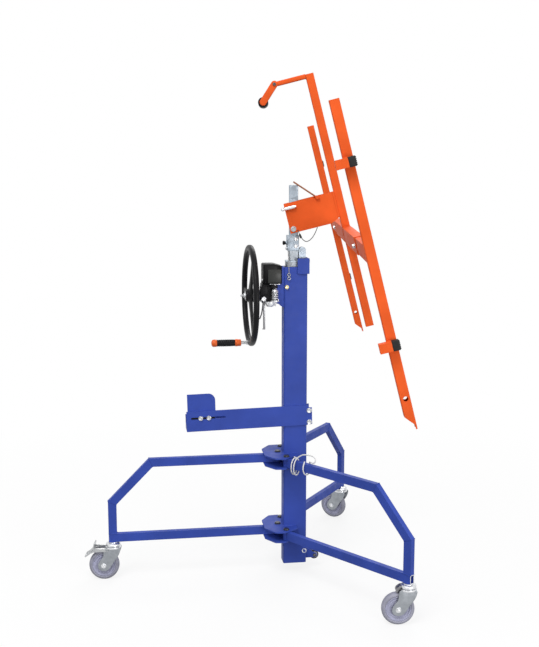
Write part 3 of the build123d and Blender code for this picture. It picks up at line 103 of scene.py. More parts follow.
def make_camera():
    """Camera fitted to the photograph."""
    data = bpy.data.cameras.new("camera")
    data.sensor_fit = "AUTO"
    data.sensor_width = SENSOR
    data.lens = LENS
    cam = bpy.data.objects.new("camera", data)
    cam.location = EYE
    cam.rotation_euler = (math.radians(90 - EYE_DOWN), 0.0, math.radians(EYE_TURN))
    SCENE.collection.objects.link(cam)
    SCENE.camera = cam


make_camera()


# Node helpers
def feed(tree, node, inputs):
    """Link outputs into inputs, or set the inputs' values."""
    for key, value in inputs.items():
        if isinstance(value, bpy.types.NodeSocket):
            tree.links.new(value, node.inputs[key])
        else:
            node.inputs[key].default_value = value


def add(tree, kind, inputs=None, **values):
    """Add a shader node with its properties and inputs."""
    node = tree.nodes.new("ShaderNode" + kind)
    for key, value in values.items():
        setattr(node, key, value)
    feed(tree, node, inputs or {})
    return node


def new_material(name):
    """Material with its tree and its shader."""
    mat = bpy.data.materials.new(name)
    mat.use_nodes = True
    return mat, mat.node_tree, mat.node_tree.nodes["Principled BSDF"]


def object_coords(tree):
    """Coordinates fixed to the object."""
    return add(tree, "TexCoord").outputs["Object"]


def noise(tree, scale, detail=3.0, rough=0.55):
    """Noise factor over the object."""
    inputs = {"Scale": scale, "Detail": detail, "Roughness": rough, "Vector": object_coords(tree)}
    return add(tree, "TexNoise", inputs).outputs["Fac"]


def shade(colour, factor=1.0):
    """Colour made darker or lighter, with its alpha."""
    return tuple(min(1.0, c * factor) for c in colour) + (1.0,)


def ramp(tree, fac, *stops):
    """Ramp between two stops; a plain number is a grey."""
    node = add(tree, "ValToRGB", {"Fac": fac})
    for element, (place, colour) in zip(node.color_ramp.elements, stops):
        element.position = place
        element.color = colour if isinstance(colour, tuple) else shade((colour,) * 3)
    return node.outputs["Color"]


def uneven(tree, scale, value, less, more):
    """A value that wanders between less and more."""
    return ramp(tree, noise(tree, scale, 4.0), (0.3, value - less), (0.7, value + more))


def mix_colour(tree, fac, a, b):
    """Mix two colours or sockets."""
    return add(tree, "Mix", {"Factor": fac, 6: a, 7: b}, data_type="RGBA").outputs[2]


def rounded_normal(tree, radius):
    """Normal with its edges rounded."""
    return add(tree, "Bevel", {"Radius": radius}, samples=4).outputs["Normal"]


def edge_mask(tree, radius, low, high):
    """Mask that is one along edges."""
    normal = add(tree, "NewGeometry").outputs["Normal"]
    dot = add(tree, "VectorMath", {0: rounded_normal(tree, radius), 1: normal}, operation="DOT_PRODUCT")
    return ramp(tree, dot.outputs["Value"], (low, 1.0), (high, 0.0))


def surface_bump(tree, shader, height, strength, distance, bevel_radius=0.0):
    """Bump on the shader, over rounded edges where asked."""
    bump = add(tree, "Bump", {"Strength": strength, "Distance": distance, "Height": height})
    if bevel_radius:
        feed(tree, bump, {"Normal": rounded_normal(tree, bevel_radius)})
    feed(tree, shader, {"Normal": bump.outputs["Normal"]})


# Kinds of surface
def paint(name, colour, worn, roughness, gloss):
    """Powder paint with an orange-peel skin, scuffs and worn edges."""
    mat, tree, shader = new_material(name)
    patches = ramp(tree, noise(tree, 9.0, 4.0), (0.3, shade(colour, 0.88)), (0.7, shade(colour, 1.1)))
    scuffs = ramp(tree, noise(tree, 70.0, 6.0, 0.7), (0.66, 0.0), (0.75, 0.35))
    tone = mix_colour(tree, scuffs, patches, shade(colour, 1.35))
    edges = edge_mask(tree, 0.0015, 0.8, 0.99)
    chips = ramp(tree, noise(tree, 160.0, 4.0, 0.7), (0.56, 0.0), (0.7, 0.6))
    wear = add(tree, "Math", {0: edges, 1: chips}, operation="MULTIPLY")
    feed(tree, shader, {
        "Base Color": mix_colour(tree, wear.outputs[0], tone, shade(worn)),
        "Roughness": uneven(tree, 30.0, roughness, 0.07, 0.1),
        "Specular IOR Level": gloss,
    })
    surface_bump(tree, shader, noise(tree, 900.0, 2.0), 0.12, 0.0004, 0.0012)
    return mat


def metal(name, dark, light, scale, roughness, spangle=False):
    """Bare or plated metal with patches of tone."""
    mat, tree, shader = new_material(name)
    if spangle:
        cells = add(tree, "TexVoronoi", {"Scale": scale, "Vector": object_coords(tree)}, feature="F1")
        fac = add(tree, "SeparateColor", {"Color": cells.outputs["Color"]}).outputs["Red"]
    else:
        fac = noise(tree, scale, 5.0, 0.65)
    feed(tree, shader, {
        "Base Color": ramp(tree, fac, (0.2, shade(dark)), (0.8, shade(light))),
        "Metallic": 1.0,
        "Roughness": uneven(tree, scale * 3, roughness, 0.08, 0.12),
    })
    surface_bump(tree, shader, noise(tree, 500.0, 3.0), 0.1, 0.0004, 0.0008)
    return mat


def plastic(name, colour, roughness, grain, strength, gloss=0.28):
    """Plastic or rubber with a fine grain and dusty patches."""
    mat, tree, shader = new_material(name)
    dust = ramp(tree, noise(tree, 22.0, 5.0, 0.6), (0.35, shade(colour, 0.85)), (0.75, shade(colour, 1.35)))
    edges = edge_mask(tree, 0.0012, 0.82, 0.99)
    feed(tree, shader, {
        "Base Color": mix_colour(tree, edges, dust, shade(colour, 1.8)),
        "Roughness": uneven(tree, 45.0, roughness, 0.08, 0.08),
        "Specular IOR Level": gloss,
    })
    surface_bump(tree, shader, noise(tree, grain, 3.0), strength, 0.0005, 0.0015)
    return mat


def strand(name, dark, light, pitch, metallic, roughness):
    """Twisted strands: slanting bands across the run."""
    mat, tree, shader = new_material(name)
    inputs = {"Scale": pitch, "Distortion": 0.6, "Vector": object_coords(tree)}
    wave = add(tree, "TexWave", inputs, wave_type="BANDS", bands_direction="DIAGONAL").outputs["Fac"]
    feed(tree, shader, {
        "Base Color": ramp(tree, wave, (0.1, dark), (0.6, light)),
        "Metallic": metallic,
        "Roughness": roughness,
    })
    surface_bump(tree, shader, wave, 0.5, 0.0006)
    return mat


# Looks: paint has colour, worn edge, roughness and gloss
PAINTS = {
    "blue_paint": ((0.034, 0.07, 0.375), (0.22, 0.26, 0.36), 0.5, 0.22),
    "orange_paint": ((0.8, 0.112, 0.022), (0.6, 0.25, 0.15), 0.5, 0.06),
}
# Metal has dark and light tone, scale of the patches, roughness and zinc flowers
METALS = {
    "galvanised": ((0.26, 0.3, 0.34), (0.4, 0.46, 0.52), 70.0, 0.46, True),
    "dull_zinc": ((0.2, 0.22, 0.24), (0.32, 0.35, 0.38), 70.0, 0.46, True),
    "zinc": ((0.36, 0.37, 0.38), (0.6, 0.61, 0.62), 60.0, 0.3),
    "fork_zinc": ((0.25, 0.27, 0.29), (0.4, 0.42, 0.45), 60.0, 0.36),
    "bright_zinc": ((0.58, 0.59, 0.61), (0.82, 0.83, 0.85), 60.0, 0.28),
    "brass": ((0.52, 0.45, 0.24), (0.86, 0.78, 0.5), 80.0, 0.3),
    "steel": ((0.26, 0.27, 0.28), (0.44, 0.45, 0.46), 90.0, 0.35),
    "dark_steel": ((0.05, 0.05, 0.055), (0.14, 0.14, 0.15), 90.0, 0.4),
    "lever_steel": ((0.17, 0.17, 0.18), (0.3, 0.3, 0.31), 90.0, 0.36),
}
# Plastic has colour, roughness, scale and depth of the grain, and gloss
PLASTICS = {
    "black_plastic": ((0.006, 0.006, 0.007), 0.42, 700.0, 0.12, 0.14),
    "orange_plastic": ((0.8, 0.13, 0.02), 0.35, 500.0, 0.08),
    "black_rubber": ((0.016, 0.016, 0.016), 0.72, 350.0, 0.25),
    "grey_wheel": ((0.38, 0.39, 0.48), 0.55, 300.0, 0.15),
    "tyre_grey": ((0.3, 0.302, 0.37), 0.6, 300.0, 0.15),
    "wheel_hub": ((0.37, 0.375, 0.5), 0.45, 300.0, 0.1),
    "nylon": ((0.03, 0.03, 0.033), 0.5, 400.0, 0.1),
    "charcoal": ((0.03, 0.032, 0.03), 0.38, 500.0, 0.1),
    "cut_edge": ((0.72, 0.73, 0.77), 0.4, 300.0, 0.05),
    "russet": ((0.3, 0.11, 0.05), 0.5, 300.0, 0.05),
}
# Strands have dark and light grey, pitch, metal and roughness
STRANDS = {
    "rope_steel": (0.16, 0.5, 260.0, 1.0, 0.4),
    "dark_rope": (0.03, 0.14, 260.0, 1.0, 0.5),
    "white_cord": (0.55, 0.86, 160.0, 0.0, 0.8),
}
MATS = {}
for make, looks in ((paint, PAINTS), (metal, METALS), (plastic, PLASTICS), (strand, STRANDS)):
    for look, values in looks.items():
        MATS[look] = make(look, *values)

# Material slot of the looks that no solid has
LOOK_OF = {"inner_mast": "dull_zinc", "mid_mast": "dull_zinc"}


def dress_nodes():
    """Material of each solid's slot; the sliding tubes are duller."""
    for part in frame["record"]["subparts"]:
        for slot in NODES[part["node"]].material_slots:
            slot.material = MATS[LOOK_OF.get(part["node"], part["material_slot"])]


dress_nodes()

# Light and floor
WHITE = (1.0, 1.0, 1.0, 1.0)
SKY = 0.66
FLOOR_SIZE = 60.0
FLOOR_BOUNCE = 0.2
FLOOR_SEEN = 0.88
FADE_FROM = 0.6
FADE_TO = 2.6
FADE_LEAST = 0.8
LAMPS = (
    ("key", (-1.6, -2.6, 4.8), (0.0, 0.0, 1.0), 2.6, 122.0),
    ("fill", (1.8, -4.2, 0.9), (0.0, 0.0, 0.4), 1.4, 62.0),
    ("back", (1.5, 3.6, 3.6), (0.0, 0.0, 1.0), 2.4, 40.0),
)


def seen_rays(tree, *kinds):
    """One for camera rays and for the named kinds of ray."""
    path = add(tree, "LightPath")
    seen = path.outputs["Is Camera Ray"]
    for kind in kinds:
        seen = add(tree, "Math", {0: seen, 1: path.outputs[kind]}, operation="MAXIMUM").outputs[0]
    return seen


def world_light():
    """Pale sky, white where the camera, a gloss or a clear ray sees it."""
    world = bpy.data.worlds.new("studio")
    SCENE.world = world
    world.use_nodes = True
    tree = world.node_tree
    sky = tree.nodes["Background"]
    feed(tree, sky, {"Color": WHITE, "Strength": SKY})
    white = add(tree, "Background", {"Color": WHITE, "Strength": 1.0})
    clear = seen_rays(tree, "Is Glossy Ray", "Is Transmission Ray")
    mix = add(tree, "MixShader", {"Fac": clear, 1: sky.outputs[0], 2: white.outputs[0]})
    feed(tree, tree.nodes["World Output"], {"Surface": mix.outputs[0]})


def area_light(name, place, target, size, power):
    """Soft lamp pointed at a target."""
    data = bpy.data.lights.new(name, "AREA")
    data.shape = "DISK"
    data.size = size
    data.energy = power
    lamp = bpy.data.objects.new(name, data)
    lamp.location = place
    lamp.rotation_euler = (Vector(target) - Vector(place)).to_track_quat("-Z", "Y").to_euler()
    SCENE.collection.objects.link(lamp)


def floor_plane():
    """Pale floor that fades to white and keeps the shadow."""
    bpy.ops.mesh.primitive_plane_add(size=FLOOR_SIZE, location=(0.0, 0.0, 0.0))
    floor = bpy.context.object
    floor.name = "floor"
    mat, tree, shader = new_material("floor")
    seen = seen_rays(tree, "Is Glossy Ray")
    tone = add(tree, "MapRange", {"Value": seen, "To Min": FLOOR_BOUNCE, "To Max": FLOOR_SEEN})
    feed(tree, shader, {"Roughness": 0.9, "Base Color": tone.outputs["Result"]})
    away = add(tree, "VectorMath", {0: object_coords(tree)}, operation="LENGTH").outputs["Value"]
    fade = add(tree, "MapRange", {
        "Value": away, "From Min": FADE_FROM, "From Max": FADE_TO, "To Min": FADE_LEAST, "To Max": 1.0,
    })
    amount = add(tree, "Math", {0: fade.outputs["Result"], 1: seen}, operation="MULTIPLY")
    glow = add(tree, "Emission", {"Color": WHITE, "Strength": 1.0})
    mix = add(tree, "MixShader", {"Fac": amount.outputs[0], 1: shader.outputs[0], 2: glow.outputs[0]})
    feed(tree, tree.nodes["Material Output"], {"Surface": mix.outputs[0]})
    floor.data.materials.append(mat)


world_light()
for lamp in LAMPS:
    area_light(*lamp)
floor_plane()


# Places
def shift(x=0.0, y=0.0, z=0.0):
    """Move along the axes."""
    return Matrix.Translation((x, y, z))


def spin(degrees, axis):
    """Turn about one axis."""
    return Matrix.Rotation(math.radians(degrees), 4, axis)


def basis(origin, direction):
    """Frame whose Z points along a direction."""
    turn = Vector(direction).normalized().to_track_quat("Z", "Y")
    return shift(*origin) @ turn.to_matrix().to_4x4()


HERE = Matrix.Identity(4)
SIDE = spin(90, "X")
CARRIER = shift(*PIVOT) @ spin(YAW, "Z") @ spin(-TILT, "Y")
REAR_LEG = shift(REAR_X) @ spin(180, "Z")
NEAR_LEG = shift(FRONT_X) @ spin(-LEG_ANGLE, "Z")
FAR_LEG = shift(FRONT_X) @ spin(LEG_ANGLE, "Z")
LEGS = (
    ("rear", REAR_LEG, REAR_POST, "base"),
    ("near", NEAR_LEG, FRONT_POST, "near_leg"),
    ("far", FAR_LEG, FRONT_POST, "far_leg"),
)


# Objects
def enter(obj, material, body):
    """Link and dress an object; without a body it is left unattached."""
    obj.data.materials.append(MATS[material])
    SCENE.collection.objects.link(obj)
    if body:
        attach(obj, body)
    return obj


def put(name, bm, material, body, angle=35.0):
    """Object from a mesh in the row frame."""
    bmesh.ops.recalc_face_normals(bm, faces=bm.faces)
    mesh = bpy.data.meshes.new(name)
    bm.to_mesh(mesh)
    bm.free()
    for face in mesh.polygons:
        face.use_smooth = True
    mesh.set_sharp_from_angle(angle=math.radians(angle))
    return enter(bpy.data.objects.new(name, mesh), material, body)


def route_curve(name, points):
    """Smooth spline over a route's control points."""
    curve = bpy.data.curves.new(name, "CURVE")
    curve.dimensions = "3D"
    spline = curve.splines.new("NURBS")
    spline.points.add(len(points) - 1)
    for point, place in zip(spline.points, points):
        point.co = (*place, 1.0)
    spline.order_u = 3
    spline.use_endpoint_u = True
    spline.resolution_u = 12
    return curve


def spline_curve(name, points, radius, material, body):
    """Round cord over a route's control points."""
    curve = route_curve(name, points)
    curve.bevel_depth = radius
    curve.bevel_resolution = 4
    curve.use_fill_caps = True
    return enter(bpy.data.objects.new(name, curve), material, body)


def curve_line(points):
    """Points along the route's own smooth spline."""
    curve = route_curve("route", points)
    obj = bpy.data.objects.new("route", curve)
    mesh = bpy.data.meshes.new_from_object(obj)
    line = [v.co.copy() for v in mesh.vertices]
    bpy.data.objects.remove(obj)
    bpy.data.curves.remove(curve)
    bpy.data.meshes.remove(mesh)
    return line


def route_length(points):
    """Length of the route's smooth spline."""
    line = curve_line(points)
    return sum((b - a).length for a, b in zip(line, line[1:]))


# Mesh helpers
def mm(pairs, x=0.0, y=0.0):
    """Pairs in millimetres from a place, as metres."""
    return [(x + MM * a, y + MM * b) for a, b in pairs]


def arc(x, y, radius, start, stop, steps):
    """Points on an arc between two angles in degrees."""
    points = []
    for k in range(steps + 1):
        a = math.radians(start + (stop - start) * k / steps)
        points.append((x + radius * math.cos(a), y + radius * math.sin(a)))
    return points


def oval(count, half_a, half_b, power):
    """Closed soft-cornered oval."""
    points = []
    for k in range(count):
        t = 2 * math.pi * k / count
        c = math.cos(t)
        s = math.sin(t)
        a = half_a * math.copysign(abs(c) ** (2 / power), c)
        b = half_b * math.copysign(abs(s) ** (2 / power), s)
        points.append((a, b))
    return points


def smooth_outline(points, steps=6):
    """Closed smooth outline through points."""
    count = len(points)
    result = []
    for i in range(count):
        p0, p1, p2, p3 = (Vector(points[(i + k) % count]) for k in (-1, 0, 1, 2))
        for k in range(steps):
            t = k / steps
            a = 2 * p1 + (p2 - p0) * t
            b = (2 * p0 - 5 * p1 + 4 * p2 - p3) * t * t
            c = (3 * p1 - p0 - 3 * p2 + p3) * t * t * t
            q = (a + b + c) * 0.5
            result.append((q.x, q.y))
    return result


def skin(bm, rings, wrap=False):
    """Faces between following rings; wrap joins the last to the first."""
    pairs = list(zip(rings, rings[1:]))
    if wrap:
        pairs.append((rings[-1], rings[0]))
    for a, b in pairs:
        count = max(len(a), len(b))
        for k in range(count):
            n = (k + 1) % count
            corners = (a[k % len(a)], b[k % len(b)], b[n % len(b)], a[n % len(a)])
            bm.faces.new(tuple(dict.fromkeys(corners)))


def ring(bm, matrix, z, radii):
    """Points evenly spread about local Z, with a radius for each."""
    loop = []
    for k, r in enumerate(radii):
        a = 2 * math.pi * k / len(radii)
        loop.append(bm.verts.new(matrix @ Vector((r * math.cos(a), r * math.sin(a), z))))
    return loop


def lathe(bm, matrix, profile, steps=48, closed=False):
    """Turned body about local Z from (height, radius) pairs."""
    skin(bm, [ring(bm, matrix, z, [r] * (steps if r > 1e-6 else 1)) for z, r in profile], closed)


def turned(bm, matrix, profile, steps=48, start=0.0, bore=0.0):
    """Turned body with flat ends or a bore; profile and bore in millimetres."""
    ends = [(profile[0][0], bore), *profile, (profile[-1][0], bore)]
    lathe(bm, matrix, mm(ends, start), steps, bore > 0.0)


def rod(bm, matrix, radius, low, high, steps=24):
    """Plain round bar along local Z."""
    lathe(bm, matrix, [(low, 0.0), (low, radius), (high, radius), (high, 0.0)], steps)


def mirrored(half):
    """Whole profile from its half above the middle plane."""
    return [(-z, r) for z, r in reversed(half) if z] + half


def loft(bm, matrix, sections, count, power):
    """Bar of soft ovals along local X: place, half Y, half Z in millimetres."""
    rings = []
    for x, half_y, half_z in sections:
        loop = oval(count, MM * half_y, MM * half_z, power)
        rings.append([bm.verts.new(matrix @ Vector((MM * x, a, b))) for a, b in loop])
    skin(bm, rings)
    bm.faces.new(rings[0][::-1])
    bm.faces.new(rings[-1])


def tube_along(bm, line, radius, sides=10, ripple=0.0, pitch=0.004):
    """Round tube along points with closed ends; ripple swells it at a pitch."""
    rings = []
    run = 0.0
    for i, place in enumerate(line):
        way = (line[min(i + 1, len(line) - 1)] - line[max(i - 1, 0)]).normalized()
        side = way.cross(Vector((0.0, 0.0, 1.0)))
        if side.length < 0.05:
            side = way.cross(Vector((1.0, 0.0, 0.0)))
        side.normalize()
        lift = side.cross(way)
        if i:
            run += (place - line[i - 1]).length
        r = radius * (1.0 + ripple * math.sin(2 * math.pi * run / pitch))
        loop = arc(0.0, 0.0, r, 0.0, 360.0, sides)[:-1]
        rings.append([bm.verts.new(place + side * a + lift * b) for a, b in loop])
    skin(bm, rings)
    bm.faces.new(rings[0])
    bm.faces.new(rings[-1])


def round_edges(part, radius, segments=2, angle=30.0):
    """Round the edges of a part that are sharper than an angle."""
    limit = math.radians(angle)
    edges = [e for e in part.edges if len(e.link_faces) == 2 and e.calc_face_angle(0.0) > limit]
    bmesh.ops.bevel(part, geom=edges, offset=radius, segments=segments, profile=0.5, affect="EDGES")


def prism(bm, matrix, outline, low, high, radius, segments=2):
    """Plate from an outline between two heights, with rounded edges."""
    part = bmesh.new()
    bottom = [part.verts.new(Vector((x, y, low))) for x, y in outline]
    top = [part.verts.new(Vector((x, y, high))) for x, y in outline]
    part.faces.new(bottom[::-1])
    part.faces.new(top)
    skin(part, [top, bottom])
    bmesh.ops.recalc_face_normals(part, faces=part.faces)
    round_edges(part, radius, segments)
    part.transform(matrix)
    mesh = bpy.data.meshes.new("part")
    part.to_mesh(mesh)
    part.free()
    bm.from_mesh(mesh)
    bpy.data.meshes.remove(mesh)


def rounded_block(bm, matrix, x0, x1, y0, y1, z0, z1, radius, segments=3):
    """Block with rounded edges."""
    prism(bm, matrix, [(x0, y0), (x1, y0), (x1, y1), (x0, y1)], z0, z1, radius, segments)


# Bolts
BOLT_HEAD = 0.006
BOLT_WASHER = 1.12


def hex_head(bm, matrix, radius, height, low=0.0, steps=48):
    """Hexagon along local Z with a turned chamfer and a dished top."""
    flat = radius * math.cos(math.pi / 6)
    turns = [(2 * math.pi * k / steps) % (math.pi / 3) - math.pi / 6 for k in range(steps)]
    top = low + height
    rings = []
    for z in (low, low + height * 0.12, top - height * 0.22, top - height * 0.12, top - height * 0.05, top):
        limit = 0.94 * flat + 1.75 * min(z - low + height * 0.05, top - z)
        rings.append(ring(bm, matrix, z, [min(flat / math.cos(turn), limit) for turn in turns]))
    rings.append(ring(bm, matrix, top - height * 0.06, [0.8 * flat] * steps))
    skin(bm, rings)
    bm.faces.new(rings[-1])
    bm.faces.new(rings[0][::-1])


def washer(bm, matrix, radius, thickness, low=0.0):
    """Flat washer with a broken edge."""
    e = thickness * 0.25
    high = low + thickness
    edge = [(low, radius - e), (low + e, radius), (high - e, radius), (high, radius - e)]
    lathe(bm, matrix, [(low, 0.0), *edge, (high, 0.0)])


def thread(bm, matrix, radius, low, high, pitch=0.0015):
    """Threaded end with a chamfered tip."""
    profile = [(low, 0.0), (low, radius)]
    turns = max(2, int((high - low) / pitch))
    step = (high - low) / turns
    for i in range(turns):
        z = low + step * (i + 0.5)
        profile += [(z - step * 0.25, radius * 0.9), (z + step * 0.25, radius)]
    profile += [(high, radius * 0.8), (high, 0.0)]
    lathe(bm, matrix, profile, 24)


def fastener(bm, matrix, disc, plate, radius, height, stud=0.0, stud_low=0.0, stud_high=0.0):
    """Hexagon on a washer, with a threaded end where it has one."""
    washer(bm, matrix, disc, plate)
    hex_head(bm, matrix, radius, height, plate)
    if stud:
        thread(bm, matrix, stud, stud_low, stud_high)


def bolt_head(bm, origin, direction, radius, height, plate=0.0015):
    """Hexagon on a washer, together as high as the solid's head."""
    fastener(bm, basis(origin, direction), radius * BOLT_WASHER, plate, radius, height - plate)


def through_bolt(bm, head, way, grip, radius, nut, stud, steps=24):
    """Head, shank, and nut with the threaded end standing out."""
    head = Vector(head)
    way = Vector(way)
    bolt_head(bm, head, -way, radius, BOLT_HEAD)
    end = basis(head + way * grip, way)
    fastener(bm, end, radius * BOLT_WASHER, 0.0013, radius, nut * 0.72, stud, nut * 0.6, nut)
    rod(bm, basis(head, way), stud, 0.0, grip, steps)


# Cords
WIRE_R = 0.0015
CORD_R = 0.0025
EYE_RING = 0.0052
EYE_ZS = (1.1673, 1.1539)
WIRE_X = -0.027
WIRE_OUT = -0.034
WIRE_IN = -0.013
WIRE_ZS = (1.256, 1.242, 1.208, 1.174)
TURN_POINTS = 8


def collar_lanyard():
    """Wire from the collar with two eyes before the mast."""
    points = [(WIRE_X, y, z) for y, z in zip((WIRE_IN, WIRE_IN, WIRE_OUT, WIRE_OUT), WIRE_ZS)]
    wire = spline_curve("collar_wire", points, WIRE_R, "rope_steel", "inner_stage")
    bm = bmesh.new()
    section = [(b, EYE_RING + a) for a, b in arc(0.0, 0.0, WIRE_R, 0.0, 360.0, 10)[:-1]]
    for z in EYE_ZS:
        lathe(bm, shift(WIRE_X, WIRE_OUT, z) @ SIDE, section, 32, True)
    eyes = put("collar_eyes", bm, "steel", "inner_stage")
    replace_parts(wire, "collar_lanyard")
    length = route_length(points)


def bracket_lanyard():
    """Wire loop below the tilt bracket."""
    face = -CHEEK_FACE
    out = face - 0.006
    local = [
        (0.015, face, -0.008), (0.015, out, -0.008), (0.019, out, -0.038), (0.033, out, -0.06),
        (0.058, out, -0.052), (0.082, face - 0.001, -0.026), (0.088, face + 0.002, -0.0152),
    ]
    points = [tuple(CARRIER @ Vector(p)) for p in local]
    wire = spline_curve("bracket_wire", points, WIRE_R, "dark_rope", "carrier")
    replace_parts(wire, "bracket_lanyard")
    length = route_length(points)


def loop_points(start, turns, step, half_y, half_z, z):
    """Control points of loose turns round the leg's bar."""
    points = []
    stretch = 1 / math.cos(math.pi / TURN_POINTS)
    for i in range(turns * TURN_POINTS):
        part = (i + 0.5) / TURN_POINTS
        turn = 2 * math.pi * part
        across = stretch * half_y * math.sin(turn)
        points.append((start + step * part, across, z + stretch * half_z * math.cos(turn)))
    return points


def leg_cord():
    """White cord: two loose turns, an arch and one turn farther out."""
    t = LEG_T / 2
    h = LEG_H / 2
    local = loop_points(HINGE_R + 0.034, 2, 0.013, t + 0.0091, h + 0.0165, LEG_UP_Z - 0.006)
    path = [
        (0.069, -0.003, 0.036), (0.088, 0.0, 0.048), (0.12, 0.003, 0.05), (0.141, 0.003, 0.048),
        (0.149, 0.002, 0.0405), (0.149, 0.0, 0.031), (0.141, -0.002, 0.0235),
    ]
    local += [(HINGE_R + along, across, LEG_UP_Z + up) for along, across, up in path]
    local += loop_points(HINGE_R + 0.111, 1, -0.009, t + 0.0079, h + 0.0099, LEG_UP_Z - 0.001)
    points = [tuple(NEAR_LEG @ Vector(p)) for p in local]
    cord = spline_curve("tie_cord", points, CORD_R, "white_cord", "near_leg")
    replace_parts(cord, "leg_cord")
    length = route_length(points)


collar_lanyard()
bracket_lanyard()
leg_cord()

# Coil spring of the brake
BRAKE_X = -0.082
BRAKE_Y = -0.046
COIL_R = 0.0125
COIL_WIRE = 0.002
COIL_LOW = 1.0762
COIL_RISE = 0.029
COIL_TURNS = 4
COIL_STEPS = 28 * COIL_TURNS


def brake_spring():
    """Open coil between the two spring washers."""
    line = []
    for i, (x, y) in enumerate(arc(BRAKE_X, BRAKE_Y, COIL_R, 0.0, 360.0 * COIL_TURNS, COIL_STEPS)):
        line.append(Vector((x, y, COIL_LOW + COIL_RISE * i / COIL_STEPS)))
    bm = bmesh.new()
    tube_along(bm, line, COIL_WIRE)
    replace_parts(put("coil_spring", bm, "bright_zinc", "base"), "brake_spring")


brake_spring()

# Casters
WHEEL_C = 0.0575
TRAIL = 0.035
CROWN_Z = 0.13
FORK_IN = 0.017
FORK_T = 0.003
FORK_OUT = FORK_IN + FORK_T
PEDAL_X = 0.022
PEDAL_Z = CROWN_Z - 0.01
PEDAL_REACH = FORK_OUT + 0.0035
PEDAL_ARM_T = 0.003
LEG_UNDER = LEG_LOW_Z - LEG_H / 2
CASTER_TURNS = {"rear": 172.0, "near": 172.0, "far": 141.0}


def caster_fork(name, place):
    """Pressed fork; the rear one has the pedal's pins."""
    bm = bmesh.new()
    outline = smooth_outline(mm([
        (-27, 128), (0, 129), (28, 128), (34.5, 113), (36.5, 93), (48, 78), (56.5, 60), (53, 44), (37, 36),
        (20, 40), (6, 56), (-5, 74), (-19, 93), (-27.5, 112),
    ]))
    for y in (-FORK_IN, FORK_OUT):
        prism(bm, place @ shift(y=y) @ SIDE, outline, 0.0, FORK_T, 0.0007)
    rounded_block(bm, place, -0.026, 0.026, -0.02, 0.02, CROWN_Z - 0.005, CROWN_Z - 0.001, 0.0018)
    if name == "rear":
        for side in (-1, 1):
            pin = place @ shift(PEDAL_X, side * FORK_IN, PEDAL_Z) @ spin(-90 * side, "X")
            turned(bm, pin, [(0, 3), (6.2, 3), (6.4, 4.6), (8, 4)], 20)
    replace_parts(put(name + "_fork", bm, "fork_zinc", name + "_caster"), name + "_caster_fork")


def caster_race(name, place):
    """Bright race, stem and axle bolt."""
    bm = bmesh.new()
    top = LEG_UNDER - 0.0001
    low = CROWN_Z - 0.0065
    rise = (top - low) / MM
    turned(bm, place, [
        (0, 27.2), (1.2, 29), (4, 29.6), (6.8, 28.8), (8, 26.5), (8.4, 24), (9.4, 24), (9.8, 26.2),
        (11.2, 27.6), (17, 27.6), (19.2, 26.2), (rise - 3, 20.5), (rise - 2.6, 17.5), (rise, 17),
    ], start=low)
    rod(bm, place, 0.006, top - 0.001, top + 0.035)
    axle = place @ shift(TRAIL, 0.0, WHEEL_C)
    near = axle @ shift(y=-FORK_OUT) @ SIDE
    far = axle @ shift(y=FORK_OUT) @ spin(-90, "X")
    for end in (near, far):
        fastener(bm, end, 0.01, 0.0012, 0.0082, 0.0042, 0.0048, 0.004, 0.0072)
    rod(bm, near, 0.005, -2 * FORK_OUT, 0.0)
    put(name + "_race", bm, "bright_zinc", name + "_caster")


def caster_guard(name, place):
    """Bent guard of a caster without a brake."""
    bm = bmesh.new()
    outline = smooth_outline(mm([
        (24, 142), (29, 141.8), (40, 134.5), (44.5, 127.5), (43.5, 120), (38.5, 117.5), (33.5, 124),
        (28.5, 132), (23.5, 138),
    ]), 4)
    prism(bm, place @ shift(y=0.013) @ SIDE, outline, 0.0, 0.026, 0.001)
    put(name + "_guard", bm, "lever_steel", name + "_caster")


def caster_wheel(name, place):
    """Grey tyre with rounded shoulders on a ringed hub."""
    axle = place @ shift(TRAIL, 0.0, WHEEL_C) @ SIDE
    tread = [
        (0, 0), (6, -0.2), (10, -1.2), (12.8, -3.2), (14.5, -6.2), (15, -9), (14.6, -10.4), (13.8, -10.8),
        (13.8, -12), (12, -13),
    ]
    bm = bmesh.new()
    lathe(bm, axle, mm(mirrored(tread), y=WHEEL_C), 72, True)
    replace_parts(put(name + "_tyre", bm, "tyre_grey", name + "_wheel", 40.0), name + "_caster_wheel")
    face = [
        (11.8, -12.9), (12.8, -14.5), (12.8, -16.3), (11.2, -17.9), (9.4, -19.1), (9, -22.9), (10, -24.1),
        (10, -25.7), (8.8, -26.9), (8.4, -32.9), (9.4, -34.1), (9.4, -35.5), (8.6, -36.9), (10, -41.5),
        (13.5, -43.3), (15.2, -44.7), (16, -46.3), (16, -52.3),
    ]
    bm = bmesh.new()
    lathe(bm, axle, mm(mirrored(face), y=WHEEL_C), 72, True)
    put(name + "_hub", bm, "wheel_hub", name + "_wheel", 40.0)


def bent_plate(points, thickness):
    """Outline of a bent strip along a middle line."""
    line = [Vector(p) for p in points]
    upper = []
    lower = []
    for k, p in enumerate(line):
        way = (line[min(k + 1, len(line) - 1)] - line[max(k - 1, 0)]).normalized()
        side = Vector((-way.y, way.x)) * (thickness / 2)
        upper.append(tuple(p + side))
        lower.append(tuple(p - side))
    return upper + lower[::-1]


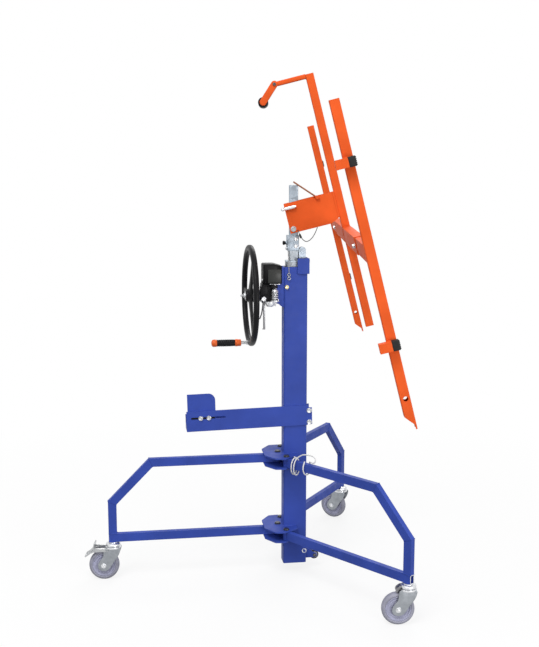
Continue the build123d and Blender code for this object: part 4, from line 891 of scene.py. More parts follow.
def brake_pedal(place):
    """Foot pedal bent round the rear tyre, with toe ribs and a brake shoe."""
    bm = bmesh.new()
    wide = PEDAL_REACH
    strip = bent_plate(mm([
        (47.5, 25), (48.2, 18), (50, 10), (53.5, 3), (59, -5.5), (65, -12.5), (73, -18.8), (84, -26),
    ], PEDAL_X, PEDAL_Z), 0.0046)
    prism(bm, place @ shift(y=wide) @ SIDE, strip, 0.0, 2 * wide, 0.0012)
    arm = smooth_outline(mm([
        (-6, 0), (-4.5, 4.8), (0, 6.2), (25, 5.6), (44, 7.5), (52, 5.5), (59, -4), (56, -8.2), (40, -7.8),
        (20, -6.6), (0, -6.2), (-4.5, -4.5),
    ], PEDAL_X, PEDAL_Z))
    for y in (PEDAL_ARM_T - wide, wide):
        prism(bm, place @ shift(y=y) @ SIDE, arm, 0.0, PEDAL_ARM_T, 0.0007)
    for k in range(3):
        rib = place @ shift(PEDAL_X + 0.069 + 0.005 * k, 0.0, PEDAL_Z - 0.0132 - 0.0033 * k) @ spin(33, "Y")
        rounded_block(bm, rib, -0.0008, 0.0008, 0.004 - wide, wide - 0.004, -0.0014, 0.0016, 0.0006)
    shoe = place @ shift(PEDAL_X + 0.061, 0.012, PEDAL_Z - 0.01) @ SIDE
    turned(bm, shoe, [(0, 5.2), (0.8, 6), (23.2, 6), (24, 5.2)], 28)
    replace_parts(put("brake_pedal", bm, "zinc", "rear_brake_pedal"), "rear_brake_pedal")


def tube_end(name, leg, post, body):
    """Bright cut edge of the lower tube's open end."""
    bm = bmesh.new()
    end = leg @ shift(post + LEG_H / 2 - 0.001, 0.0, LEG_LOW_Z) @ spin(90, "Y")
    h = LEG_H / 2 + 0.0002
    t = LEG_T / 2 + 0.0002
    w = LEG_WALL + 0.0006
    for x0, x1, y0, y1 in ((-h, h, -t, w - t), (-h, h, t - w, t), (-h, w - h, -t, t), (h - w, h, -t, t)):
        rounded_block(bm, end, x0, x1, y0, y1, 0.0, 0.0014, 0.0004, 2)
    put(name + "_tube_end", bm, "cut_edge", body)


def casters():
    """Three casters at their rest turns."""
    for name, leg, reach, body in LEGS:
        place = shift(*(leg @ Vector((reach, 0.0, 0.0)))) @ spin(CASTER_TURNS[name], "Z")
        caster_fork(name, place)
        caster_race(name, place)
        if name != "rear":
            caster_guard(name, place)
        caster_wheel(name, place)
        tube_end(name, leg, reach, body)
        if name == "rear":
            brake_pedal(place)


casters()

# Handwheel and crank
HUB_LEFT = -0.187
HUB_RIGHT = -0.15
CRANK_TIP = -0.318
CRANK_ROOT = -0.205
CAP_LONG = 21
SLEEVE_END = (CRANK_ROOT - CRANK_TIP) / MM - 23
SLEEVE_RIBS = 9
WHEEL_AXIS = shift(WHEEL_X, 0.0, WINCH_Z) @ spin(90, "Y")
CRANK_AXIS = shift(z=CRANK_Z) @ spin(90, "Y")


def handwheel():
    """Wheel with an oval rim, three tapered spokes and a stepped hub."""
    bm = bmesh.new()
    rim = [(a, WHEEL_R - RIM_T / 2 + b) for a, b in oval(20, RIM_W / 2, RIM_T / 2, 2.5)]
    lathe(bm, WHEEL_AXIS, rim, 120, True)
    wide = (HUB_RIGHT - HUB_LEFT) / MM
    hub = [(0, 19), (2, 20.8), (7, 21.5), (9, 25), (12, 26), (wide - 8, 26), (wide - 4, 24.5), (wide, 22.5)]
    turned(bm, WHEEL_AXIS, hub, 64, HUB_LEFT - WHEEL_X, 9)
    spoke = [
        (18, 7.8, 25), (34, 7.2, 22.5), (60, 6.2, 16.5), (100, 5.4, 13.2), (145, 5.2, 13), (160, 5.6, 14.5),
        (172, 6.4, 17),
    ]
    for i in range(3):
        loft(bm, shift(WHEEL_X, 0.0, WINCH_Z) @ spin(120 * i, "X") @ spin(90, "Z"), spoke, 20, 2.6)
    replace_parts(put("wheel", bm, "black_plastic", "handwheel", 50.0), "handwheel")


def winch_shaft():
    """Shaft with its nut and threaded end, and the crank's spindle."""
    bm = bmesh.new()
    rod(bm, shift(z=WINCH_Z) @ spin(90, "Y"), 0.009, HUB_LEFT, -0.071, 40)
    nut = basis((HUB_LEFT, 0.0, WINCH_Z), LEFTWARD)
    fastener(bm, nut, 0.016, 0.0018, 0.0105, 0.005, 0.0042, 0.006, 0.0188)
    turned(bm, CRANK_AXIS, [(6, 6), (134, 6), (134, 8.5), (138, 8.5), (138, 6), (160, 6)], 32, CRANK_TIP)
    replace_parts(put("shaft_and_spindle", bm, "zinc", "handwheel"), "winch_shaft")


def crank():
    """Ribbed black sleeve between an orange cap and a flared collar."""
    bm = bmesh.new()
    step = (SLEEVE_END - CAP_LONG) / SLEEVE_RIBS
    profile = [(CAP_LONG, 12)]
    for i in range(SLEEVE_RIBS):
        a = CAP_LONG + step * (i + 0.15)
        b = CAP_LONG + step * (i + 0.85)
        swell = 12.6 + 0.6 * math.sin(math.pi * (i + 0.5) / SLEEVE_RIBS)
        profile += [(a, swell - 0.5), (a + 0.8, swell), (b - 0.8, swell), (b, swell - 0.5)]
    profile.append((SLEEVE_END, 12))
    turned(bm, CRANK_AXIS, profile, 48, CRANK_TIP, 6.2)
    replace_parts(put("crank_sleeve", bm, "black_plastic", "crank_grip"), "crank_grip")
    ends = bmesh.new()
    lathe(ends, CRANK_AXIS, mm([
        (0, 0), (0.4, 5), (1.8, 9.8), (4.5, 12.8), (8.5, 14), (18, 14), (20, 13.4), (CAP_LONG, 12.5),
        (CAP_LONG, 0),
    ], CRANK_TIP))
    turned(ends, CRANK_AXIS, [
        (0, 12.5), (1.5, 13.5), (4, 14), (10, 13.4), (17, 12.8), (21, 13.2), (22.5, 12), (23, 11),
    ], 48, CRANK_ROOT - 0.023, 6.2)
    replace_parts(put("crank_caps", ends, "orange_plastic", "crank_grip"), "crank_ends")


# Winch
HOUSING_LEFT = -0.128
HOUSING_RIGHT = -0.073
HOUSING_HALF = 0.03
HOUSING_BOTTOM = 1.06
HOUSING_RIBS = (1.072, 1.104)
GEAR_LOW = 1.0925
GEAR_HIGH = 1.1245
COVER_SCREW_Z = 1.15
COVER_BOTTOM = 1.134
COVER_TOP = 1.209
COVER_LEFT = -0.124
COVER_RIGHT = -0.054
COVER_HALF = 0.0335
COVER_WALL = 0.0025
PANEL_T = 0.0012
SPRING_LOW = 1.072
SPRING_HIGH = 1.119
LEVER_X = -0.122
LEVER_Z = 1.078
LEVER_FACE = -0.031
LEVER_HALF = 0.004
LEVER_T = 0.004
LEVER_LONG = 0.112


def winch_housing():
    """Cast box with a bearing boss, ribs, a lug for the brake and screws."""
    bm = bmesh.new()
    left = HOUSING_LEFT
    right = HOUSING_RIGHT
    half = HOUSING_HALF
    rounded_block(bm, HERE, left, right, -half, half, HOUSING_BOTTOM, COVER_BOTTOM, 0.004)
    for y in (-half - 0.0005, half - 0.0015):
        for z in HOUSING_RIBS:
            rounded_block(bm, HERE, left + 0.006, right - 0.006, y, y + 0.002, z, z + 0.006, 0.0009)
    boss = basis((left, 0.0, WINCH_Z), LEFTWARD)
    turned(bm, boss, [(-4, 25), (0, 25), (3, 23.5), (10, 17), (14, 15.5), (15, 14)])
    rounded_block(bm, HERE, BRAKE_X - 0.015, BRAKE_X + 0.009, BRAKE_Y - 0.015, -0.028, SPRING_HIGH + 0.002,
                  SPRING_HIGH + 0.012, 0.002)
    rounded_block(bm, HERE, left - 0.006, left + 0.022, -0.0312, -0.004, GEAR_LOW, GEAR_HIGH, 0.002)
    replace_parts(put("housing", bm, "black_plastic", "base"), "winch_housing")
    screws = bmesh.new()
    bolt_head(screws, (COVER_LEFT, -0.024, COVER_SCREW_Z), LEFTWARD, 0.0042, 0.005, 0.0008)
    lip = COVER_BOTTOM - 0.0016
    rounded_block(screws, HERE, -0.101, -0.061, -0.041, -0.03, lip, lip + 0.002, 0.0005, 2)
    for y in (-0.022, 0.022):
        bolt_head(screws, (left, y, HOUSING_BOTTOM + 0.01), LEFTWARD, 0.005, 0.004, 0.0008)
    put("housing_screws", screws, "zinc", "base")


def winch_cover():
    """Moulded hood, open toward the mast, with a raised panel on both sides."""
    bm = bmesh.new()
    outline = [
        (COVER_LEFT, COVER_BOTTOM), (COVER_LEFT, COVER_TOP), (COVER_RIGHT - 0.026, COVER_TOP),
        (COVER_RIGHT, COVER_TOP - 0.008), (COVER_RIGHT, COVER_BOTTOM),
    ]
    near = [bm.verts.new(Vector((x, -COVER_HALF, z))) for x, z in outline]
    far = [bm.verts.new(Vector((x, COVER_HALF, z))) for x, z in outline]
    bm.faces.new(near)
    bm.faces.new(far[::-1])
    for k in range(3):
        bm.faces.new((near[k], far[k], far[k + 1], near[k + 1]))
    bmesh.ops.recalc_face_normals(bm, faces=bm.faces)
    round_edges(bm, 0.006, 4, 10.0)
    cover = put("hood", bm, "black_plastic", "base", 50.0)
    shell = cover.modifiers.new("shell", "SOLIDIFY")
    shell.thickness = COVER_WALL
    shell.offset = -1.0
    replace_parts(cover, "winch_cover")
    trim = bmesh.new()
    left = COVER_LEFT + 0.018
    right = COVER_RIGHT - 0.003
    low = COVER_BOTTOM + 0.004
    high = COVER_TOP - 0.021
    panel = [
        (left, low), (left, high - 0.003), (left + 0.003, high), (right - 0.003, high),
        (right, high - 0.003), (right, low),
    ]
    for depth in (COVER_HALF, -COVER_HALF - PANEL_T):
        prism(trim, SIDE, panel, depth, depth + PANEL_T, 0.0005)
    put("hood_panels", trim, "charcoal", "base")


def brake():
    """Brake cup, threaded rod with its washers, cone and nut."""
    bm = bmesh.new()
    stem = shift(BRAKE_X, BRAKE_Y)
    cup = shift(BRAKE_X - 0.019, BRAKE_Y + 0.002, SPRING_LOW - 0.022)
    turned(bm, cup, [(0, 9), (1.6, 12.8), (6, 16), (12, 17.6), (19, 18), (20, 17.2)])
    thread(bm, stem, 0.004, SPRING_LOW - 0.02, SPRING_HIGH + 0.014, 0.0016)
    washer(bm, stem, 0.0185, 0.0032, SPRING_LOW - 0.003)
    washer(bm, stem, 0.0165, 0.0022, SPRING_LOW + 0.0002)
    turned(bm, stem, [(-11.8, 12.8), (-10, 13.8), (-8.4, 12.8), (-2, 7), (0, 6.4)], start=SPRING_HIGH)
    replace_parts(put("brake_cup_and_rod", bm, "bright_zinc", "base"), "brake_arm")
    nut = bmesh.new()
    hex_head(nut, stem, 0.01, 0.008, SPRING_HIGH + 0.0022)
    put("brake_nut", nut, "dark_steel", "base")


def release_lever():
    """Narrow lever with an eye, a turned foot and a bent wire."""
    bm = bmesh.new()
    y = LEVER_FACE
    end_x = LEVER_X + 0.0015
    end_z = LEVER_Z - LEVER_LONG
    outline = arc(LEVER_X, LEVER_Z, LEVER_HALF, 0, 180, 12) + arc(end_x, end_z, LEVER_HALF, 180, 360, 12)
    prism(bm, SIDE, outline, -y, LEVER_T - y, 0.0009)
    eye = basis((LEVER_X, y, LEVER_Z), NEARWARD)
    turned(bm, eye, [(0, 7.6), (0.8, 8.4), (3.6, 8.4), (4.4, 7.6)], 36, bore=4.2)
    rounded_block(bm, shift(end_x, 0.0, end_z), -0.0072, 0.004, y - LEVER_T, y, -0.0036, 0.0002, 0.001)
    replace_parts(put("lever", bm, "lever_steel", "release_lever"), "release_lever")
    wire = bmesh.new()
    route = [(-0.124, 1.07), (-0.1275, 1.04), (-0.131, 1.018), (-0.1385, 1.002)]
    tube_along(wire, curve_line([(x, y - 0.002, z) for x, z in route]), 0.0024, 12)
    put("lever_wire", wire, "dark_steel", "release_lever")


handwheel()
winch_shaft()
crank()
winch_housing()
winch_cover()
brake()
release_lever()

# Carrier details
ROD_PIVOT = Vector((0.114, 0.0, 0.091))
ROD_TIP = Vector((0.041, 0.0, 0.17))
LATCH_V = 0.08
LATCH_Y = -CHEEK_FACE - 0.007
ELBOW = Vector((0.0595, 0.0, 0.53))
GRIP = Vector((0.004, 0.0, 0.478))
GRIP_R = 19
GRIP_LONG = 84
ARM_HALF = 0.009
LINK_T = 0.008
LINK_HALF = 0.013
PAD_UP = 0.2
PAD_LOW = -0.34
PAD_BACK = 0.19
PAD_FRONT = 0.214
STUB = 0.028
BEAM_V = -0.07
BEAM_HALF = 0.56


def local_basis(point, direction):
    """Frame on the carrier whose Z points along a direction."""
    return CARRIER @ basis(point, direction)


def carrier_bolts():
    """Pivot bolt, beam clamp screws, painted lever pin and dark elbow bolt."""
    bm = bmesh.new()
    y = CHEEK_FACE
    near = local_basis((0.0, -y, 0.0), NEARWARD)
    fastener(bm, near, 0.0105, 0.0016, 0.0085, 0.0054)
    far = local_basis((0.0, y, 0.0), FARWARD)
    fastener(bm, far, 0.013, 0.0016, 0.011, 0.0056, 0.006, 0.006, 0.009)
    rod(bm, near, 0.006, -2 * y, 0.0)
    painted = bmesh.new()
    pin = local_basis((ROD_PIVOT.x, -y, ROD_PIVOT.z), NEARWARD)
    turned(painted, pin, [(0, 4), (8, 4), (8.2, 5.8), (9.8, 6), (11, 4.6)], 28)
    put("lever_pin", painted, "orange_paint", "carrier")
    dark = bmesh.new()
    near = local_basis((ELBOW.x, -ARM_HALF - LINK_T - 0.0002, ELBOW.z), NEARWARD)
    hex_head(dark, near, 0.0066, 0.005)
    rod(dark, near, 0.005, -0.026, 0.0)
    far = local_basis((ELBOW.x, ARM_HALF, ELBOW.z), FARWARD)
    hex_head(dark, far, 0.008, 0.0042)
    thread(dark, far, 0.005, 0.004, 0.006)
    put("elbow_bolt", dark, "dark_steel", "carrier")
    for side in (-1, 1):
        place = CARRIER @ Vector((RAIL_BACK, side * (BEAM_HALF - 0.03), BEAM_V))
        bolt_head(bm, place, CARRIER.to_3x3() @ Vector(LEFTWARD), 0.008, 0.009)
    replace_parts(put("carrier_bolt_set", bm, "zinc", "carrier"), "carrier_bolts")


def latch():
    """Spring latch: sleeve on a welded foot, pin and pull ball."""
    bm = bmesh.new()
    axis = local_basis((0.0, LATCH_Y, LATCH_V), (1.0, 0.0, 0.0))
    turned(bm, axis, [(-11, 5.8), (-10.2, 6.5), (23.2, 6.5), (24, 5.8)], 36, bore=4.1)
    foot = CARRIER @ shift(z=LATCH_V)
    rounded_block(bm, foot, -0.008, 0.016, LATCH_Y, -CHEEK_FACE, -0.005, 0.005, 0.0012)
    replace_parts(put("latch_tube", bm, "bright_zinc", "carrier"), "latch_sleeve")
    pin = bmesh.new()
    profile = [(30, 0), (30, 2.8), (28.5, 4), (-15.8, 4)] + arc(-22, 0, 7, 55, 180, 12)
    lathe(pin, axis, mm(profile), 36)
    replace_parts(put("latch_bolt", pin, "bright_zinc", "latch_pin"), "latch_pin")


def lanyard_clip():
    """Dark clip on the bracket's wire."""
    bm = bmesh.new()
    places = ((0.0172, -0.024), (0.0178, -0.029), (0.0186, -0.034), (0.0198, -0.039))
    tube_along(bm, [CARRIER @ Vector((x, -CHEEK_FACE - 0.006, z)) for x, z in places], 0.0042, 14)
    put("wire_clip", bm, "charcoal", "carrier")


def rod_lever():
    """Round rod lever with a domed tip and a painted eye."""
    bm = bmesh.new()
    painted = bmesh.new()
    y = -CHEEK_FACE - 0.0005
    eye = local_basis((ROD_PIVOT.x, y, ROD_PIVOT.z), NEARWARD)
    turned(painted, eye, [(0, 7.2), (0.8, 8), (6.2, 8), (7, 7.2)], 36, bore=4.05)
    way = ROD_TIP - ROD_PIVOT
    bar = local_basis((ROD_PIVOT.x, y - 0.0035, ROD_PIVOT.z), way)
    turned(painted, bar, [(6.5, 3), (12, 3)], 24)
    long = way.length / MM
    turned(bm, bar, [(12, 3), (long - 3, 3), (long - 1, 2.4), (long, 1.2)], 24)
    put("rod_eye", painted, "orange_paint", "rod_lever")
    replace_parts(put("rod_handle", bm, "russet", "rod_lever"), "rod_lever")


def pads():
    """Ribbed rubber pads on the stubs of both side rails."""
    half = STUB / 2 + 0.001
    for name, side in SIDES:
        bm = bmesh.new()
        edge = SIDE_RAIL_Y + RAIL / 2 + 0.001
        low, high = sorted((side * edge, side * (edge + STUB)))
        for v in (PAD_UP, PAD_LOW):
            rounded_block(bm, CARRIER, PAD_BACK, PAD_FRONT - 0.0016, low, high, v - half, v + half, 0.003)
            for k in range(5):
                z = v - half + 0.003 + 0.0054 * k
                rounded_block(bm, CARRIER, PAD_FRONT - 0.004, PAD_FRONT, low + 0.003, high - 0.003,
                              z, z + 0.0024, 0.0007)
        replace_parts(put(name + "_pad_pair", bm, "black_rubber", name + "_side"), name + "_pads")


def handle_grip():
    """Round moulded grip with ridges and a soft end."""
    bm = bmesh.new()
    r = GRIP_R
    profile = [(0, r - 2), (0.8, r - 0.6), (3, r), (8, r)]
    for i in range(7):
        z = 12 + 8 * i
        profile += [(z, r), (z + 1.2, r - 1.2), (z + 2.8, r - 1.2), (z + 4, r)]
    profile += [(GRIP_LONG - 10, r), (GRIP_LONG - 4, r - 1.2), (GRIP_LONG - 1, r - 4.5), (GRIP_LONG, r - 9)]
    turned(bm, local_basis((GRIP.x, -ARM_HALF - 0.0001, GRIP.z), FARWARD), profile, 56)
    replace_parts(put("grip", bm, "black_plastic", "handle"), "handle_grip")


carrier_bolts()
latch()
lanyard_clip()
rod_lever()
pads()
handle_grip()

# Collar, knob, roller and handle
COLLAR_LEFT = -0.03
COLLAR_RIGHT = 0.014
COLLAR_HALF = 0.018
COLLAR_LOW = 1.256
COLLAR_HIGH = 1.314
COLLAR_SEAM = 1.2845
SEAM_HALF = 0.0006
INNER_X = -0.005
SPIGOT_R = 0.01305
KNOB_Z = 1.285
ROLLER_X = 0.082
ROLLER_Z = 0.053


def rounded_loop(half_x, half_y, corner, steps=8):
    """Rounded rectangle, counter-clockwise."""
    points = []
    for i, (sx, sy) in enumerate(((1, 1), (-1, 1), (-1, -1), (1, -1))):
        points += arc(sx * (half_x - corner), sy * (half_y - corner), corner, 90 * i, 90 * i + 90, steps)
    return points


def bored_block(bm, matrix, half_x, half_y, corner, bore_x, low, high, edge):
    """Block with rounded edges and a bore for the spigot."""
    levels = (
        (edge, high), (0.3 * edge, high - 0.3 * edge), (0.0, high - edge), (0.0, low + edge),
        (0.3 * edge, low + 0.3 * edge), (edge, low),
    )
    loops = [(rounded_loop(half_x - inset, half_y - inset, corner), z) for inset, z in levels]
    bore = []
    for x, y in rounded_loop(half_x, half_y, corner):
        a = math.atan2(y, x - bore_x)
        bore.append((bore_x + SPIGOT_R * math.cos(a), SPIGOT_R * math.sin(a)))
    loops += [(bore, low), (bore, high)]
    skin(bm, [[bm.verts.new(matrix @ Vector((x, y, z))) for x, y in loop] for loop, z in loops], True)


def collar():
    """Clamp collar of two halves with its plunger boss and bolts."""
    bm = bmesh.new()
    middle = (COLLAR_LEFT + COLLAR_RIGHT) / 2
    half = (COLLAR_RIGHT - COLLAR_LEFT) / 2
    for inset, corner, low, high, edge in (
        (0.0, 0.003, COLLAR_LOW, COLLAR_SEAM - SEAM_HALF, 0.0012),
        (0.0, 0.003, COLLAR_SEAM + SEAM_HALF, COLLAR_HIGH, 0.0012),
        (0.001, 0.002, COLLAR_SEAM - 0.001, COLLAR_SEAM + 0.001, 0.0001),
    ):
        sizes = (half - inset, COLLAR_HALF - inset, corner)
        bored_block(bm, shift(middle), *sizes, INNER_X - middle, low, high, edge)
    boss = basis((COLLAR_LEFT, 0.0, KNOB_Z), LEFTWARD)
    turned(bm, boss, [(-1, 7), (4, 7), (5, 6.2)], 36, bore=3.05)
    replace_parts(put("collar", bm, "galvanised", "inner_stage"), "swivel_collar")
    bolts = bmesh.new()
    for z in (COLLAR_LOW + 0.017, COLLAR_HIGH - 0.014):
        bolt_head(bolts, (COLLAR_RIGHT - 0.012, -COLLAR_HALF, z), NEARWARD, 0.007, 0.005)
    bolt_head(bolts, (COLLAR_LEFT, -0.006, COLLAR_LOW + 0.009), LEFTWARD, 0.005, 0.006)
    put("collar_bolt_set", bolts, "zinc", "inner_stage")


def plunger():
    """Black pull knob with a waist, on its pin."""
    bm = bmesh.new()
    lathe(bm, basis((COLLAR_LEFT - 0.0051, 0.0, KNOB_Z), LEFTWARD), mm([
        (-16.7, 0), (-16.7, 3), (0, 3), (0, 5.8), (1.6, 5.6), (2.8, 6.6), (4, 7.8), (5.4, 8), (8.2, 8),
        (9.8, 7.2), (10.7, 5.4), (11, 0),
    ]), 40)
    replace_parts(put("pull_knob", bm, "black_plastic", "swivel_plunger"), "swivel_plunger")


def roller():
    """Black tread on a pale hub with a stepped bore."""
    axis = basis((ROLLER_X, 0.0, ROLLER_Z), FARWARD)
    bm = bmesh.new()
    lathe(bm, axis, mm(mirrored([(0, 17.5), (4, 17.5), (6, 16.7), (7, 14.7), (7, 13)])), 48, True)
    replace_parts(put("roller", bm, "black_rubber", "foot_roller", 40.0), "foot_roller")
    hub = bmesh.new()
    lathe(hub, axis, mm(mirrored([(0, 13), (6.6, 13), (6.6, 8), (7, 6.6), (7, 4.05)])), 48, True)
    put("roller_hub", hub, "wheel_hub", "foot_roller", 40.0)


def handle():
    """Arm with a turned knuckle, and the domed link on its near side."""
    bm = bmesh.new()
    r = ARM_HALF / MM
    end = (RAIL_BACK - ELBOW.x) / MM
    bar = [(3, r - 1.6, r - 1.6), (10, r - 0.6, r - 0.4), (20, r, r), (end - 10, r, r), (end, r, r)]
    loft(bm, CARRIER @ shift(*ELBOW), bar, 32, 3.2)
    knuckle = local_basis((ELBOW.x, -ARM_HALF, ELBOW.z), FARWARD)
    turned(bm, knuckle, [(0, r - 1.2), (1.2, r), (2 * r - 1.2, r), (2 * r, r - 1.2)], 40, bore=5)
    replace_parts(put("handle_bar", bm, "orange_paint", "carrier", 50.0), "handle_arm")
    link = bmesh.new()
    way = math.degrees(math.atan2(GRIP.z - ELBOW.z, GRIP.x - ELBOW.x))
    outline = arc(GRIP.x, GRIP.z, LINK_HALF, way - 90, way + 90, 16)
    outline += arc(ELBOW.x, ELBOW.z, LINK_HALF, way + 90, way + 270, 16)
    low = ARM_HALF + 0.0001
    prism(link, CARRIER @ SIDE, outline, low, low + LINK_T, 0.0034, 4)
    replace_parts(put("handle_bar_link", link, "orange_paint", "handle", 50.0), "handle_link")


collar()
plunger()
roller()
handle()

# Bolts and pins of the mast, arm and legs
ARM_FACE = 0.035
ARM_BOLT_X = 0.053
ARM_BOLT_ZS = (0.5975, 0.643)
STOP_BOLT_XS = (-0.3635, -0.3325)
STOP_BOLT_Z = 0.6365
ARM_TURN = spin(-1.4, "Y")
STOP_FACE = 0.0249
MAST_FACE = MAST_D / 2
WING_HALF = LEG_H / 2 + 0.0007
WING_T = 0.005
SHEAVE_X = -0.06625
SHEAVE_Z = 1.165
ROLLER_PIN = 23.4
ANCHOR_BOLT_Z = 1.215
HEAD_BOLT_X = -0.034
HEAD_BOLT_Z = 1.121
FOOT_BOLT_Z = 0.081
# Painted shade: a thin black strip on the stop plate stands for the shade inside the arm's slot
FOOT_WASHER = 0.0016
SHADE_STRIP_X = -0.359
SHADE_STRIP_Y = -0.02995
SHADE_STRIP_SIZE = (0.1, 0.00006, 0.012)


def on_arm(x, y, z):
    """Point on the storage arm, which hangs low at its free end."""
    pivot = Vector((0.0, 0.0, STOP_BOLT_Z))
    return pivot + ARM_TURN @ (Vector((x, y, z)) - pivot)


def frame_bolts():
    """Bolts and pins that stay with the mast."""
    bm = bmesh.new()
    bolt_head(bm, (MAST_W / 2 + 0.006, 0.0, ANCHOR_BOLT_Z), (1.0, 0.0, 0.0), 0.007, 0.007)
    pin = basis((SHEAVE_X, -MAST_FACE, SHEAVE_Z), FARWARD)
    turned(bm, pin, [(0, 4.3), (0.8, 5), (59.2, 5), (60, 4.3)], 28)
    dark = bmesh.new()
    long = ROLLER_PIN
    turned(dark, basis((ROLLER_X, -MM * long / 2, ROLLER_Z), FARWARD), [
        (-3, 5), (-2, 6.6), (0, 7), (0, 4), (long, 4), (long, 7), (long + 2, 6.6), (long + 3, 5),
    ], 36)
    put("roller_pin", dark, "dark_steel", "base")
    rod(bm, basis((LEVER_X, -0.03, LEVER_Z), NEARWARD), 0.0037, 0.0, 0.0062)
    for z in ARM_BOLT_ZS:
        through_bolt(bm, on_arm(ARM_BOLT_X, -ARM_FACE, z), FARWARD, 2 * ARM_FACE, 0.009, 0.007, 0.005)
    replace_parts(put("mast_bolts", bm, "zinc", "base"), "frame_bolts")
    head = bmesh.new()
    bolt_head(head, (HEAD_BOLT_X, -MAST_FACE, HEAD_BOLT_Z), NEARWARD, 0.007, 0.007)
    put("head_bolt", head, "brass", "base")
    bright = bmesh.new()
    bolt_head(bright, (LEVER_X, -0.0356, LEVER_Z), NEARWARD, 0.0078, 0.0056)
    foot = basis((MAST_W / 2 - 0.008, -MAST_FACE, FOOT_BOLT_Z), NEARWARD)
    washer(bright, foot, 0.009, FOOT_WASHER)
    put("bright_bolts", bright, "bright_zinc", "base")
    painted = bmesh.new()
    hex_head(painted, foot, 0.0058, 0.005, FOOT_WASHER)
    put("foot_bolt", painted, "blue_paint", "base")


def leg_pins():
    """Dark hinge bolts through the bracket plates."""
    bm = bmesh.new()
    reach = WING_HALF + WING_T
    for z in (LEG_UP_Z, LEG_LOW_Z):
        for leg, radius in ((REAR_LEG, REAR_R), (NEAR_LEG, HINGE_R), (FAR_LEG, HINGE_R)):
            top = leg @ Vector((radius, 0.0, z + reach))
            through_bolt(bm, top, DOWNWARD, 2 * reach, 0.011, 0.006, 0.006, 28)
    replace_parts(put("hinge_bolts", bm, "dark_steel", "base"), "leg_pins")


def slot_shade_strip():
    """Thin black strip of painted shade, seen through the arm's slot so the slot reads dark."""
    bm = bmesh.new()
    place = shift(*on_arm(SHADE_STRIP_X, SHADE_STRIP_Y, STOP_BOLT_Z)) @ ARM_TURN
    bmesh.ops.create_cube(bm, size=1.0, matrix=place @ Matrix.Diagonal((*SHADE_STRIP_SIZE, 1.0)))
    put("slot_shade_strip", bm, "black_plastic", "stop")


def stop_bolts():
    """Two bolts that clamp the stop plate in the arm's slot."""
    bm = bmesh.new()
    for x in STOP_BOLT_XS:
        near = on_arm(x, -ARM_FACE - 0.0001, STOP_BOLT_Z)
        through_bolt(bm, near, FARWARD, ARM_FACE + 0.0001 - STOP_FACE, 0.008, 0.006, 0.004)
    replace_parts(put("clamp_bolts", bm, "zinc", "stop"), "stop_bolts")


frame_bolts()
leg_pins()
slot_shade_strip()
stop_bolts()

# Weld beads
BEAD_R = 0.0022
BEAD_PITCH = 0.0045
BRACKET_LOW = 1.043
ANCHOR_LOW = 1.17
SLEEVE_HALF_W = 0.0122
SLEEVE_HALF_H = 0.0272


def bead(bm, matrix, points, radius=BEAD_R):
    """Rippled weld bead along straight runs."""
    line = []
    for a, b in zip(points, points[1:]):
        a = Vector(a)
        b = Vector(b)
        steps = max(2, int((b - a).length / (BEAD_PITCH / 4)))
        for k in range(steps):
            line.append(matrix @ a.lerp(b, k / steps))
    line.append(matrix @ Vector(points[-1]))
    tube_along(bm, line, radius, 8, 0.16, BEAD_PITCH)


def upright_bead(bm, x, y, low, high, radius=BEAD_R, matrix=CARRIER):
    """Bead up a seam."""
    bead(bm, matrix, [(x, y, low), (x, y, high)], radius)


def leg_beads(bm, leg, post):
    """Mitre seams of the bent tube and the joint with the lower tube."""
    t = LEG_T / 2
    h = LEG_H / 2
    slope = math.atan2(LEG_KNEE_Z - LEG_UP_Z, KNEE_RUN)
    for x, z, a, b in ((post - KNEE_RUN, LEG_UP_Z, 0.0, slope), (post, LEG_KNEE_Z, slope, -math.pi / 2)):
        middle = (a + b) / 2 + math.pi / 2
        up = Vector((math.cos(middle), 0.0, math.sin(middle))) * (h / math.cos((b - a) / 2))
        corner = Vector((x, 0.0, z))
        side = Vector((0.0, t, 0.0))
        seam = [corner + up - side, corner + up + side, corner - up + side, corner - up - side]
        bead(bm, leg, seam + seam[:1], 0.0013)
    top = LEG_LOW_Z + h
    for y in (-t, t):
        bead(bm, leg, [(post - h, y, top), (post + h, y, top)], 0.0017)
    bead(bm, leg, [(post - h, -t, top), (post - h, t, top)], 0.0024)


def mast_beads(bm):
    """Seams between the mast and its brackets."""
    x = MAST_W / 2
    y = MAST_D / 2
    reach = WING_HALF + WING_T
    for z in (LEG_UP_Z, LEG_LOW_Z):
        for level in (z + reach, z - reach):
            bead(bm, HERE, [(0.004, -y, level), (-x, -y, level), (-x, y, level), (0.004, y, level)])
    for face in (-y, y):
        upright_bead(bm, -x, face, BRACKET_LOW + 0.004, MAST_TOP - 0.004, 0.0015, HERE)
        bead(bm, HERE, [(0.01, face, ANCHOR_LOW), (x - 0.002, face, ANCHOR_LOW)])
        upright_bead(bm, 0.006, face, ANCHOR_LOW + 0.002, MAST_TOP - 0.002, matrix=HERE)


def carrier_beads(bm):
    """Seams of the bracket, the beam and the handle on the centre rail."""
    u = RAIL_BACK
    v = ELBOW.z
    r = ARM_HALF
    for side in (-1, 1):
        y = side * RAIL / 2
        top = BEAM_V + 0.03
        upright_bead(bm, u, y, 0.004, 0.096)
        upright_bead(bm, u + 0.001, y, BEAM_V - 0.029, BEAM_V + 0.029, 0.0018)
        bead(bm, CARRIER, [(u + 0.002, y, top), (u + RAIL - 0.002, y, top)], 0.002)
        upright_bead(bm, u - 0.006, side * CHEEK_FACE, 0.005, 0.094, 0.0012)
    seam = [(u, -r, v - r), (u, r, v - r), (u, r, v + 0.004), (u, -r, v + 0.004)]
    bead(bm, CARRIER, seam + seam[:1], 0.0018)


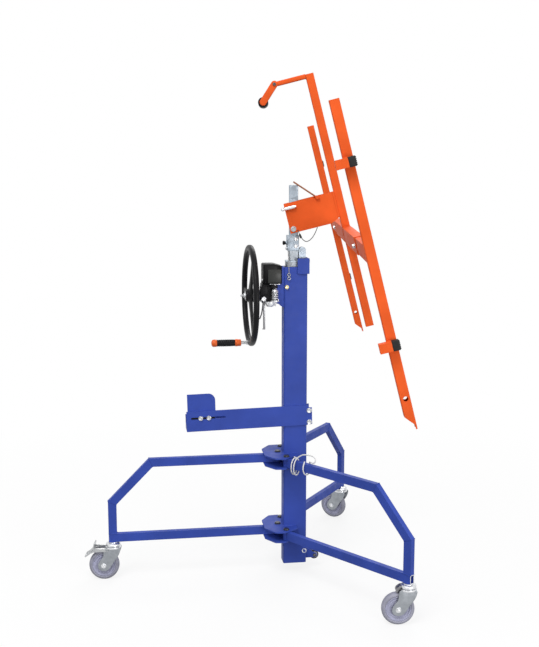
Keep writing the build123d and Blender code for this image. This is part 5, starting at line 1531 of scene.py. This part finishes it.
def side_beads(bm, side):
    """Seams of a side rail's stubs and its telescopic arm."""
    edge = side * (SIDE_RAIL_Y + RAIL / 2)
    half = STUB / 2
    for v in (PAD_UP, PAD_LOW):
        for z in (v - half, v + half):
            bead(bm, CARRIER, [(RAIL_BACK + 0.002, edge, z), (PAD_BACK, edge, z)], 0.0018)
        if side < 0:
            upright_bead(bm, RAIL_BACK, edge + 0.001, v - half, v + half, 0.0018)
    y = side * (SIDE_RAIL_Y - RAIL / 2)
    left = RAIL_BACK + RAIL / 2 - SLEEVE_HALF_W
    right = left + 2 * SLEEVE_HALF_W
    low = BEAM_V - SLEEVE_HALF_H
    high = BEAM_V + SLEEVE_HALF_H
    seam = [(left, y, low), (right, y, low), (right, y, high), (left, y, high)]
    bead(bm, CARRIER, seam + seam[:1], 0.0018)


def welds():
    """All beads, each on the body whose pieces it joins."""
    jobs = [(name + "_leg", leg_beads, (leg, post), "blue_paint", body) for name, leg, post, body in LEGS]
    jobs.append(("mast", mast_beads, (), "blue_paint", "base"))
    jobs.append(("carrier", carrier_beads, (), "orange_paint", "carrier"))
    jobs += [(name + "_side", side_beads, (side,), "orange_paint", name + "_side") for name, side in SIDES]
    for name, draw, values, material, body in jobs:
        bm = bmesh.new()
        draw(bm, *values)
        put(name + "_welds", bm, material, body)


welds()

# Steel ropes of the lift
ROPE_R = 0.002
ROPE_LAY = 0.016
ROPE_WIRES = 6
ROPE_STEP = 0.0025
WINCH_ROPE_Y = 0.016
WINCH_ROPE_LOW = 0.068
DRUM_X = -0.095
MAST_GAP_X = 0.0375
INNER_ROPE_X = 0.019
INNER_ROPE_LOW = 0.113
ANCHOR_Z = 1.197
PULLEY_X = 0.02825
PULLEY_Z = 1.252


def rope_piece(name, line, body):
    """Rope of six wires laid round a line, over a thin core."""
    bm = bmesh.new()
    wire = ROPE_R * 0.36
    lay = ROPE_R - wire
    up = Vector(FARWARD)
    for s in range(ROPE_WIRES):
        run = 0.0
        path = []
        for i, place in enumerate(line):
            if i:
                run += (place - line[i - 1]).length
            way = (line[min(i + 1, len(line) - 1)] - line[max(i - 1, 0)]).normalized()
            side = way.cross(up).normalized()
            a = 2 * math.pi * (run / ROPE_LAY + s / ROPE_WIRES)
            path.append(place + side * (lay * math.cos(a)) + up * (lay * math.sin(a)))
        tube_along(bm, path, wire, 5)
    tube_along(bm, line, lay * 0.75, 6)
    return put(name, bm, "rope_steel", body)


def run_points(start, end):
    """Points on an upright run."""
    a = Vector(start)
    b = Vector(end)
    steps = max(2, int((b - a).length / ROPE_STEP))
    return [a.lerp(b, k / steps) for k in range(steps + 1)]


def over_wheel(x, y, z, radius):
    """Half turn over a wheel, from its left side to its right."""
    return [Vector((u, y, v)) for u, v in arc(x, z, radius, 180, 0, 24)]


def ropes():
    """Winch rope and lift rope, split where they change body."""
    y = WINCH_ROPE_Y
    over = run_points((DRUM_X, y, WINCH_Z), (DRUM_X, y, SHEAVE_Z))[:-1]
    over += over_wheel(SHEAVE_X, y, SHEAVE_Z, (-MAST_GAP_X - DRUM_X) / 2)
    rope_piece("winch_rope_over", over, "base")
    start = (-MAST_GAP_X, y, SHEAVE_Z)
    end = (-MAST_GAP_X, y, WINCH_ROPE_LOW)
    down = rope_piece("winch_rope_down", run_points(start, end), None)
    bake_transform(down)
    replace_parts(down, "winch_rope")
    over = over_wheel(PULLEY_X, 0.0, PULLEY_Z, (MAST_GAP_X - INNER_ROPE_X) / 2)
    rope_piece("lift_rope_over", over, "mid_stage")
    start = (INNER_ROPE_X, 0.0, INNER_ROPE_LOW)
    end = (INNER_ROPE_X, 0.0, PULLEY_Z)
    inside = rope_piece("lift_rope_inside", run_points(start, end), None)
    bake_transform(inside)
    start = (MAST_GAP_X, 0.0, ANCHOR_Z)
    end = (MAST_GAP_X, 0.0, PULLEY_Z)
    outside = rope_piece("lift_rope_outside", run_points(start, end), None)
    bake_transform(outside)
    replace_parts(outside, "lift_rope")


ropes()
